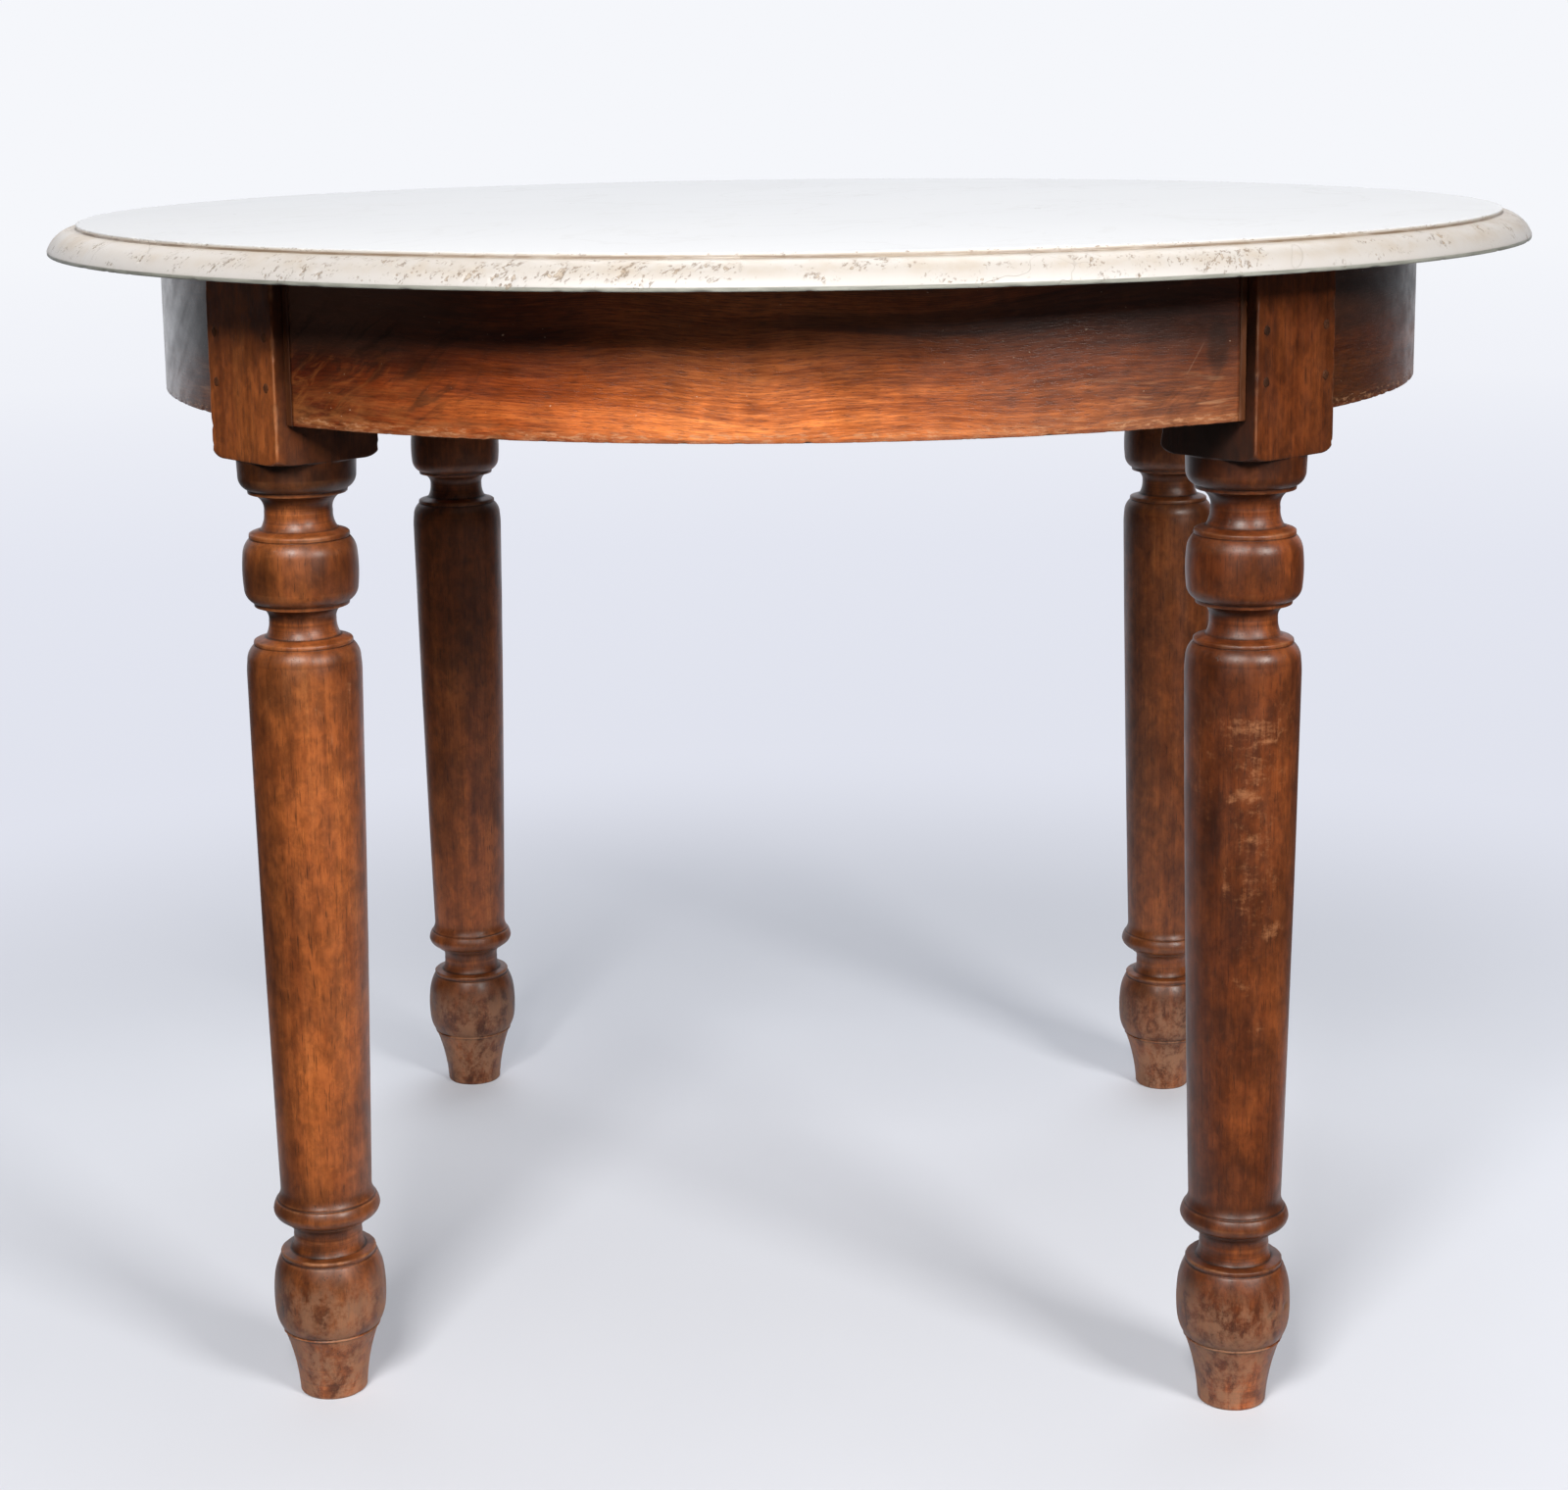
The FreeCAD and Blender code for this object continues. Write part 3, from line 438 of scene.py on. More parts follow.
def leg(name, node, turn, seed, mat, look):
    rows = turned_rows()
    t, proud, sunk = hollows(rows)
    rows = np.array(rows)
    th = block_columns()
    nt, nc = len(rows), len(th)
    c, s = np.cos(th), np.sin(th)

    # --- turned part -------------------------------------------------------
    z = np.repeat(rows[:, 1][:, None], nc, 1)
    r = np.repeat(rows[:, 0][:, None], nc, 1)
    px, py = c[None, :] * 34, s[None, :] * 34
    r = r * (1 + 0.0022 * np.cos(2 * (th[None, :] - 0.4 * seed)))          # shrunk a little across the grain
    r = r + 0.10 * fbm(px / 26, py / 26, z / 60, seed, 2)
    edge = np.clip(proud, 0, None)[:, None]
    chew = np.clip(fbm(px / 5, py / 5, z / 3.5, seed + 5, 2) - 0.18, 0, None)
    r = r - np.minimum(edge * 3.2, 1.0) * chew * 1.1
    ding = np.clip(fbm(px / 9, py / 9, z / 9, seed + 9, 2) - 0.42, 0, None) * smooth(z, 150, 40)
    r = r - ding * 1.6
    wear = np.clip(edge * 4.5, 0, 1) * (0.55 + 0.6 * vnoise(px / 11, py / 11, z / 9, seed + 2))
    wear = wear + chew * np.minimum(edge * 3, 1) * 1.5
    # darker in the quirks and broad hollows: grime, with painted shade
    dirt_and_shade = np.clip(-proud[:, None] * 9.0, 0, 1) + np.clip(-sunk[:, None] * 0.36 - 0.16, 0, 0.65)
    dirt_and_shade = dirt_and_shade * (0.75 + 0.35 * vnoise(px / 15, py / 15, z / 12, seed + 3))
    for ha, hz, hr in look.get("holes", ()):
        d = np.hypot((np.angle(np.exp(1j * (th[None, :] - math.radians(ha))))) * r, z - hz)
        r = r - 1.2 * smooth(d, hr * 1.4, hr * 0.5)
        dirt_and_shade = np.maximum(dirt_and_shade, 1.5 * smooth(d, hr * 1.6, hr * 0.8))

    # --- square block ------------------------------------------------------
    p, q = (46.5, BLOCK_LOW), (BLOCK * math.sqrt(2) + 0.2, BLOCK_LOW + 7.0)
    half = math.dist(p, q) / 2
    rise = math.sqrt(8.5 * 8.5 - half * half)
    away = ((q[1] - p[1]) / (2 * half), -(q[0] - p[0]) / (2 * half))
    cr = (p[0] + q[0]) / 2 - away[0] * rise
    cz = (p[1] + q[1]) / 2 - away[1] * rise
    bz = list(BLOCK_LOW + np.array([0.0, 0.35, 0.8, 1.4, 2.1, 3.0, 4.0, 5.2, 6.4, 7.6]))
    bz += list(np.linspace(BLOCK_LOW + 10, BLOCK_TOP - 3, 44)) + [BLOCK_TOP - 1.2, BLOCK_TOP - 0.5, BLOCK_TOP - 0.15, BLOCK_TOP]
    bz = np.array(bz)
    lathe = np.where(bz < BLOCK_LOW + 7.0, cr + np.sqrt(np.clip(8.5 ** 2 - (bz - cz) ** 2, 0, None)), 90.0)
    Z = np.repeat(bz[:, None], nc, 1)
    corner = np.floor((th + math.pi) / (math.pi / 2)).astype(int)[None, :]
    hit = np.clip(fbm(Z / 7, corner * 3.7 + 0 * Z, 0, seed + 11, 3) - 0.10, 0, None)
    rho = 1.1 + 0.9 * np.clip(vnoise(Z / 16, corner * 5.1 + 0 * Z, 0, seed + 12), 0, 1) + 4.5 * hit
    a = BLOCK - 0.10 * np.clip(fbm(c[None, :] * 1.3, s[None, :] * 1.3, Z / 40, seed + 13, 2), 0, 1)
    ca, sa = np.abs(c)[None, :], np.abs(s)[None, :]
    big, small = np.maximum(ca, sa), np.minimum(ca, sa)
    flat = a / big
    inner = a - rho
    b = (ca + sa) * inner
    disc = np.clip(b * b - (2 * inner * inner - rho * rho), 0, None)
    Rs = np.where(flat * small <= inner, flat, b + np.sqrt(disc))
    R = np.minimum(Rs, lathe[:, None])
    R[-1] -= 0.5
    R[-2] -= 0.18
    # rubbed arrises, rubbed lower corners, and shade round the peg ends
    to_edge = np.clip(a - R * small, 0, None)
    bw = smooth(to_edge, 1.5 + 0 * Z, 0.3) * (0.35 + 0.75 * vnoise(Z / 17, corner * 2.3 + 0 * Z, 0, seed + 14)) * smooth(Z, 728, 690)
    bw = bw + 1.1 * np.clip(hit * 3, 0, 1) * smooth(to_edge, 3.4, 0.8)
    bw = bw * (Z < BLOCK_TOP - 1.0)
    bw = np.maximum(bw, 0.75 * smooth(np.abs(R - lathe[:, None]), 0.9, 0.1) * (0.4 + 0.6 * vnoise(c[None, :] * 8, s[None, :] * 8, Z / 5, seed + 15)))
    # painted shade along the block's top under the stone and at its lower edge over the drum
    bd = 0.35 * smooth(Z, 626.5, 624.0) + 0.30 * smooth(Z, 722, 740)
    X, Y = R * c[None, :], R * s[None, :]
    for side in (-1, 1):
        for up in (672.0, 703.0):
            d = np.hypot((Y - side * (BLOCK - 9.0)) / 2.3, (Z - up) / 4.9)
            bd = np.maximum(bd, look.get("peg_%d" % side, 0.30) * smooth(d, 1.25, 0.55) * (X > BLOCK - 3))
    # painted shade in the narrow recess beside the rail, with grime that never gets wiped
    recess_shade_and_grime = 0.78 + 0.20 * smooth(X + 4.0 * vnoise(X / 9, Z / 9, 0.0, seed + 19), BLOCK - 5.0, BLOCK - 13.0)
    bd = np.maximum(bd, recess_shade_and_grime * (np.abs(Y) > BLOCK - 1.0) * smooth(X, BLOCK - 0.8, BLOCK - 2.4))

    r = np.vstack([r, R])
    z = np.vstack([z, Z])
    wear = np.vstack([wear, bw])
    dirt_and_shade = np.vstack([dirt_and_shade, bd])
    nr = len(r)
    # how dark the polish has gone, with painted shade on the drum under the block and on the shelf, and the turning
    # painted lighter on one side as the light falls (lean); and where the shaft has been knocked: read from the side
    # that faces the room
    turn_to = np.angle(np.exp(1j * (th - math.radians(look["face"]))))[None, :] + 0 * z
    seen_x = np.sin(turn_to)
    knots = [0, 20, 45, 47, 70, 95, 99, 109, 118, 126, 135, 145, 200, 380, 450, 484, 504, 508, 520, 531, 552, 573, 577, 590, 602, 606, 624, 624.01, 650, 740]
    level = look["tone"]
    # lean: painted light, one side of the turning lighter and the other darker as the light falls
    tone = np.interp(z, knots, level) + look.get("lean", 0.0) * seen_x * smooth(z, 624.5, 623.5)
    tone = tone * (1 + 0.10 * fbm(turn_to * 2.2, z / 22, 0.0, seed + 41, 3))
    # darker patches in the polish; those on the drum, near 612 and 618 mm, are painted shade under the block
    for cx, cz, wx_, wz_, amount in look.get("dark", ()):
        tone = tone * (1 - amount * np.exp(-((np.clip(seen_x, -1, 1) - cx) / wx_) ** 2 - ((z - cz) / wz_) ** 2) * (np.cos(turn_to) > -0.2))
    tone = np.clip(tone, 0.08, 2.0)
    rub = look.get("scuffs", 0.2) * smooth(z, 152, 190) * smooth(z, 484, 470) * np.clip(0.5 + 0.8 * vnoise(turn_to * 1.4, z / 40, 0.3, seed + 43), 0, 1)
    rub = rub * (0.4 + 0.6 * smooth(z, 230, 300)) * (0.45 + 0.55 * smooth(np.cos(turn_to), -0.5, 0.6))
    for cx, cz, wx_, wz_, amount in look.get("knocks", ()):
        rub = np.maximum(rub, amount * np.exp(-(np.abs((np.clip(seen_x, -1, 1) - cx) / wx_) ** 2.4) - np.abs((z - cz + 3.0 * vnoise(turn_to * 5, z / 30, 0.0, seed + 47)) / wz_) ** 2.4) * (np.cos(turn_to) > 0))
    dust = smooth(z, 96, 66) * (0.80 + 0.20 * smooth(z, 46, 30))
    x, y = r * c[None, :], r * s[None, :]
    lc = np.stack([x * MM + seed * 0.37, y * MM + seed * 0.21, z * MM], -1)
    cyl = np.stack([np.repeat((th * 0.0345)[None, :], nr, 0) + seed * 0.5, z * MM, r * MM], -1)
    ang = math.radians(turn)
    ox, oy = 419.5 * math.cos(ang), 419.5 * math.sin(ang)
    wx = ox + x * math.cos(ang) - y * math.sin(ang)
    wy = oy + x * math.sin(ang) + y * math.cos(ang)
    verts = np.stack([wx, wy, z], -1).reshape(-1, 3)
    faces = grid_faces(nr, nc, True)
    # maps: two upright islands, caps in the strip above
    step = np.hypot(np.diff(r.mean(1)), np.diff(z.mean(1)))
    path = np.r_[0, np.cumsum(step)]
    cut = int(np.searchsorted(path, path[-1] / 2))
    across = np.r_[(th + math.pi) / (2 * math.pi), 1.0]
    uv = []
    top = max(path[cut], path[-1] - path[cut])
    for j in range(nr - 1):
        u0, base = (0.005, path[0]) if j < cut else (0.505, path[cut])
        v0, v1 = 0.005 + 0.94 * (path[j] - base) / top, 0.005 + 0.94 * (path[j + 1] - base) / top
        for i in range(nc):
            a0, a1 = u0 + 0.485 * across[i], u0 + 0.485 * across[i + 1]
            uv += [(a0, v0), (a1, v0), (a1, v1), (a0, v1)]
    faces.append(tuple(range(nc - 1, -1, -1)))
    uv += [(0.02 + 0.018 * c[i], 0.975 + 0.018 * s[i]) for i in range(nc - 1, -1, -1)]
    faces.append(tuple((nr - 1) * nc + i for i in range(nc)))
    uv += [(0.10 + 0.020 * c[i], 0.975 + 0.020 * s[i]) for i in range(nc)]
    ob = make_object(name, verts, faces, {
        "lc": lc.reshape(-1, 3), "cy": cyl.reshape(-1, 3),
        "wear": np.clip(wear, 0, 1).ravel(), "dirt_and_shade": np.clip(dirt_and_shade, 0, 1).ravel(), "tone": tone.ravel(),
        "rub": np.clip(rub, 0, 1).ravel(), "dust": dust.ravel()}, uv)
    return place(ob, node, "frame", mat)


# polish tone at the heights listed in leg(), with painted shade on the drum under the block and on the shelf
HIND = [.90, .90, .90, .58, .50, .55, .80, .95, .88, .84, .92, 1.14, 1.18, 1.15, .98, .78, .72, .85, .95, .80, .72, .70, .80, .92, .70, .40, .40, .85, .90, .90]
PLAIN = [.95, .95, .95, .72, .66, .72, .85, .95, .85, .80, .85, 1., 1., 1., .92, .78, .72, .85, .95, .80, .72, .70, .80, .92, .70, .40, .40, .85, .90, .90]
LEGS = [
    ("turned_leg_front_left", "leg_front_left", -135.0, 3, leg_material("wood_leg_fl", 3.1, 1.06, 0.0, 0.45),
     {"face": 57.8, "tone": [.98, .98, .94, .58, .51, .55, .54, .80, .72, .80, .58, .86, 1., 1.02, .90, .70, .66, .82, .98, .72, .60, .62, .74, .92, .58, .28, .28, .90, .94, .94],
      "lean": 0.10, "scuffs": 0.12,
      "dark": ((-0.62, 552, .24, 14, .50), (-0.45, 478, .35, 13, .50), (-0.80, 330, .28, 160, .32), (-0.32, 441, .12, 26, .28), (0.45, 612, .35, 12, .45), (-0.2, 618, .35, 8, .5),
               (0.25, 556, .22, 10, .28), (0.92, 330, .16, 200, .25)),
      "knocks": ((.74, 478, .05, 9, .75), (.21, 466, .09, 4.5, .62), (.40, 448, .05, 6, .62), (.55, 405, .05, 7, .45), (-.62, 474, .10, 3, .35), (.1, 300, .12, 3, .35)),
      "peg_1": .28, "peg_-1": .28}),
    ("turned_leg_front_right", "leg_front_right", -45.0, 8, leg_material("wood_leg_fr", 8.3, 0.66, 0.32, 0.55),
     {"face": -51.1, "tone": [1.27, 1.27, 1.2, .84, .80, .80, .62, .84, .76, .90, .58, .86, .90, .92, .88, .74, .74, .84, .90, .80, .82, .80, .84, .88, .74, .50, .50, .80, .86, 1.12],
      "lean": 0.08, "scuffs": 0.30, "dark": ((-0.75, 320, .30, 190, .22), (.35, 556, .2, 9, .3), (-.3, 548, .2, 8, .2)),
      "knocks": ((.20, 457, .58, 10, .62), (.52, 451, .20, 2.6, .95), (.22, 432, .30, 15, .58), (.07, 413, .40, 4.6, .72), (.32, 384, .42, 5, .60), (-.26, 359, .06, 14, .70),
                 (.58, 325, .22, 7, .80), (.25, 375, .52, 95, .38), (.62, 357, .04, 6, .7), (-.55, 437, .10, 4, .5), (.05, 290, .30, 5, .48), (.35, 262, .22, 6, .42)),
      "peg_1": .24, "peg_-1": .66, "holes": ((-8.5, 69.5, 2.0), (16.5, 71.5, 2.0))}),
    ("turned_leg_back_right", "leg_back_right", 45.0, 13, leg_material("wood_leg_br", 13.7, 0.74, 0.0, 0.45),
     {"face": 180.0 - 51.0, "tone": PLAIN, "lean": 0.0, "scuffs": 0.30}),
    ("turned_leg_back_left", "leg_back_left", 135.0, 21, leg_material("wood_leg_bl", 21.9, 0.80, 0.1, 0.5),
     {"face": 180.0 + 57.0, "tone": HIND, "lean": 0.0, "scuffs": 0.25}),
]
for spec in LEGS:
    leg(*spec)


# ---------------------------------------------------------------------------
# Apron faces
# ---------------------------------------------------------------------------
def apron_material(name, offset, light=1.0, rubbed=1.0, muted=1.0, shine=0.0):
    k = Looks(name)
    p = k.vec("ac")                                   # metres along the rail, above its lower edge, depth
    x, y, _ = k.xyz(p)[:3]
    u, v = k.mul(x, 1 / 0.612), k.mul(y, 1 / 0.091)
    lo = (offset, offset * 0.6, 0.0)
    # the figure leans and waves a little along the rail
    lift = k.noise(k.map(p, (2.6, 6, 0), lo), 1, 2, 0.5)
    yy = k.add(y, k.mul(lift, 0.075))
    q = k.join(x, yy, 0.0)
    figure = k.noise(k.map(q, (3.2, 46, 0), lo), 1, 3, 0.55, 0.6)
    streak = k.noise(k.map(q, (14, 230, 0), lo), 1, 4, 0.62, 0.4)
    fine = k.noise(k.map(q, (62, 800, 0), lo), 1, 3, 0.65)
    pores = k.rng(k.noise(k.map(q, (125, 1150, 0), lo), 1, 2, 0.6), 0.53, 0.66)
    shimmer = k.noise(k.map(p, (55, 26, 0), lo), 1, 2, 0.5, 0.8)
    cloud = k.noise(k.map(p, (9, 22, 0), lo), 1, 3, 0.6, 0.6)

    tone = k.add(k.add(k.mul(figure, 0.36), k.mul(streak, 0.34)), k.mul(fine, 0.30))
    colour = k.ramp(tone, [
        (0.36, (0.290 * light, 0.0660 * light, 0.0150 * light)),
        (0.46, (0.520 * light, 0.1400 * light, 0.0330 * light)),
        (0.54, (0.740 * light, 0.2250 * light, 0.0570 * light)),
        (0.66, (0.900 * light, 0.3250 * light, 0.0920 * light)),
    ])
    colour = k.shade(colour, k.mul(k.rng(shimmer, 0.25, 0.75, 0.84, 1.10), k.rng(fine, 0.34, 0.66, 0.86, 1.10)))
    # the polish has faded unevenly along the rail, and a painted highlight makes it brightest in the middle
    along = k.add(u, k.mul(k.sub(cloud, 0.5), 0.10))
    fade = k.ramp(along, [(0.0, (.15, .085, .062)), (0.06, (.20, .125, .095)), (0.12, (.30, .205, .165)), (0.19, (.42, .32, .265)), (0.29, (.58, .48, .41)), (0.38, (.80, .74, .69)),
                          (0.46, (.97, .99, 1.0)), (0.54, (.97, .98, 1.0)), (0.60, (.86, .84, .80)), (0.66, (.68, .63, .61)), (0.75, (.56, .52, .53)), (0.84, (.56, .55, .58)),
                          (0.91, (.40, .375, .375)), (1.0, (.35, .315, .305))])
    colour = k.mix(muted, colour, fade, "MULTIPLY")
    # smoke drawn out along the grain, thicker towards the top, with painted shade under the top's overhang
    smoke_and_shade = k.rng(k.noise(k.map(q, (4, 42, 0), (offset + 4.0, 2.0, 0)), 1, 3, 0.5, 0.4), 0.38, 0.68)
    smoke_and_shade = k.mul(smoke_and_shade, k.rng(v, 0.16, 0.58))
    colour = k.shade(colour, k.rng(smoke_and_shade, 0.0, 1.0, 1.0, 0.46))
    shadow = k.ramp(k.add(v, k.mul(k.sub(cloud, 0.5), 0.10)), [(0.16, (1.0, 0.98, 0.98)), (0.30, (.90, .86, .84)), (0.42, (.67, .585, .54)), (0.54, (.50, .42, .38)), (0.66, (.46, .41, .39)), (0.82, (.66, .62, .64))])
    colour = k.mix(1.0, colour, shadow, "MULTIPLY")
    colour = k.mix(k.mul(pores, 0.52), colour, (0.075, 0.018, 0.004))

    # ends: dulled, browner polish
    left = k.mul(k.rng(u, 0.36, 0.02), k.rng(cloud, 0.25, 0.65, 0.70, 1.0))
    right = k.mul(k.rng(u, 0.58, 0.94), k.rng(cloud, 0.25, 0.65, 0.65, 1.0))
    dull = k.sat(k.mul(k.most(left, right), muted))
    colour = k.mix(k.mul(dull, 0.55), colour, k.shade(colour, k.rng(streak, 0.36, 0.64, 0.55, 1.15)))
    # painted reflection: a purple-grey sheen over the right end
    painted_grey_sheen = k.sat(k.mul(right, muted))
    colour = k.mix(k.mul(painted_grey_sheen, 0.22), colour, (0.155 * light, 0.078 * light, 0.060 * light))
    hush = k.mul(k.mul(k.rng(u, 0.62, 0.82), k.rng(v, 0.26, 0.52)), muted)
    colour = k.mix(k.mul(hush, 0.8), colour, k.mix(1.0, colour, (0.80, 0.66, 0.62), "MULTIPLY"))
    veil = k.mul(k.mul(k.rng(u, 0.30, 0.06), k.rng(v, 0.42, 0.78)), muted)
    colour = k.mix(k.mul(veil, 0.70), colour, (0.180, 0.088, 0.060))
    # leaning smears in the polish at either end
    lean = k.map(k.join(x, k.add(y, k.mul(cloud, 0.02)), 0.0), (1, 1, 0), lo, (0, 0, -0.62))
    smear = k.rng(k.noise(k.map(lean, (26, 98, 0)), 1, 3, 0.6, 1.4), 0.46, 0.66)
    broken = k.rng(k.noise(k.map(lean, (24, 40, 0), (1.3, 4.7, 0)), 1, 2, 0.5), 0.32, 0.56)
    glint = k.rng(k.noise(k.map(lean, (34, 115, 0), (7.1, 2.2, 0)), 1, 3, 0.65, 1.2), 0.46, 0.68)
    glint = k.mul(glint, k.mul(k.rng(u, 0.24, 0.03), k.mul(k.rng(v, 0.06, 0.18), k.rng(v, 0.66, 0.34))))
    colour = k.mix(k.mul(glint, 0.50 * muted), colour, (0.29 * light, 0.098 * light, 0.028 * light))
    smear = k.mul(k.mul(smear, broken), k.mul(k.most(k.rng(u, 0.32, 0.14), k.mul(k.rng(u, 0.80, 0.94), 0.55)), k.rng(v, 0.98, 0.60)))
    colour = k.mix(k.mul(smear, 0.66 * muted), colour, (0.028, 0.010, 0.004))
    # painted light: lifts the lower edge of the top's shadow at the left end
    shadow_edge_lift = k.mul(k.rng(u, 0.42, 0.14), k.mul(k.rng(v, 0.26, 0.38), k.rng(v, 0.64, 0.48)))
    colour = k.shade(colour, k.rng(k.mul(shadow_edge_lift, muted), 0.0, 1.0, 1.0, 1.40))
    colour = k.mix(k.mul(k.rng(u, 0.46, 0.24), 0.85 * muted), colour, k.mix(1.0, colour, (1.0, 0.88, 0.72), "MULTIPLY"))
    # one upright dark smudge and pale drawn-out rubs towards the right end
    du, dv = k.mul(k.sub(u, 0.972), 1 / 0.013), k.mul(k.sub(v, 0.52), 1 / 0.20)
    smudge = k.rng(k.add(k.add(k.mul(du, du), k.mul(dv, dv)), k.mul(k.sub(cloud, 0.5), 1.6)), 1.5, 0.1)
    colour = k.mix(k.mul(smudge, 0.62 * muted), colour, (0.020, 0.010, 0.007))
    pale = k.rng(k.noise(k.map(q, (26, 300, 0), (3.3, 1.7, 0)), 1, 3, 0.6, 0.3), 0.56, 0.70)
    pale = k.mul(pale, k.mul(k.rng(u, 0.66, 0.92), k.rng(v, 0.55, 0.12)))
    colour = k.mix(k.mul(pale, 0.42 * rubbed), colour, (0.44, 0.235, 0.125))

    # one light scratch across the grain
    sx, sy = k.sub(x, 0.5785), k.sub(y, 0.040)
    off, run = k.sub(k.mul(sx, 0.83), k.mul(sy, 0.56)), k.add(k.mul(sx, 0.56), k.mul(sy, 0.83))
    scratch = k.mul(k.rng(k.math("ABSOLUTE", off), 0.0007, 0.0001), k.rng(k.math("ABSOLUTE", run), 0.013, 0.007))
    colour = k.mix(k.mul(scratch, 0.22 * muted), colour, (0.42 * light, 0.235 * light, 0.150 * light))

    # rubbed lower edge, gold where the stain is gone at the left end
    drift = k.noise(k.map(p, (40, 190, 0), lo), 1, 4, 0.68, 0.3)
    gold = k.mul(k.mul(k.rng(u, 0.36, 0.03), k.rng(v, 0.42, 0.06)), k.rng(drift, 0.32, 0.74))
    colour = k.mix(k.mul(gold, 0.70 * rubbed), colour, (0.32 * light, 0.110 * light, 0.030 * light))
    low = k.mul(k.rng(v, 0.14, 0.02), k.rng(drift, 0.32, 0.76))
    ends = k.most(k.rng(u, 0.42, 0.05), k.rng(u, 0.72, 0.95))
    low = k.mul(low, k.add(k.mul(ends, 0.55), 0.40))
    line = k.mul(k.rng(v, 0.075, 0.030), k.rng(k.noise(k.map(p, (75, 420, 0), lo), 1, 3, 0.65), 0.48, 0.58))
    rub = k.sat(k.mul(k.most(low, k.mul(line, 0.85)), rubbed))
    rub = k.sat(k.most(rub, k.val("wear")))
    colour = k.mix(k.mul(rub, 0.60), colour, (0.40 * light, 0.150 * light, 0.050 * light))
    bits = k.rng(k.noise(k.map(p, (150, 520, 0), (offset, 3.1, 0.0)), 1, 3, 0.65, 0.4), 0.50, 0.60)
    bits = k.mul(bits, k.mul(k.rng(v, 0.080, 0.050), k.rng(drift, 0.40, 0.56)))
    colour = k.mix(k.mul(bits, 0.55 * rubbed), colour, (0.52, 0.265, 0.135))
    foot = k.mul(k.rng(v, 0.034, 0.014), k.rng(drift, 0.35, 0.60, 0.9, 0.35))
    colour = k.mix(k.mul(foot, 0.75), colour, (0.13, 0.030, 0.010))
    # small white nicks
    nick = k.rng(k.noise(k.map(p, (310, 420, 0), lo), 1, 1, 0.5), 0.775, 0.80)
    colour = k.mix(k.mul(nick, 0.6), colour, (0.62, 0.45, 0.32))

    gloss = k.noise(k.map(p, (40, 60, 0), lo), 1, 3, 0.6)
    rough = k.add(k.rng(gloss, 0.3, 0.7, 0.32 - 0.08 * shine, 0.44 - 0.10 * shine), k.add(k.mul(rub, 0.16), k.mul(dull, 0.04)))
    n = k.bump(k.add(k.mul(fine, 0.4), k.mul(pores, -0.8)), 0.00009, 0.55)
    n = k.bump(k.add(k.mul(rub, -0.5), k.mul(cloud, 0.6)), 0.00025, 0.30, n)
    if shine:
        wipe = k.noise(k.map(lean, (9, 60, 0), (2.7, 0.4, 0)), 1, 3, 0.6, 0.6)
        return k.finish(colour, rough, n, Specular_IOR_Level=0.5, Coat_Weight=k.rng(wipe, 0.32, 0.66, 0.55 * shine, 1.15 * shine), Coat_Roughness=0.22)
    return k.finish(colour, rough, n, Specular_IOR_Level=0.5)


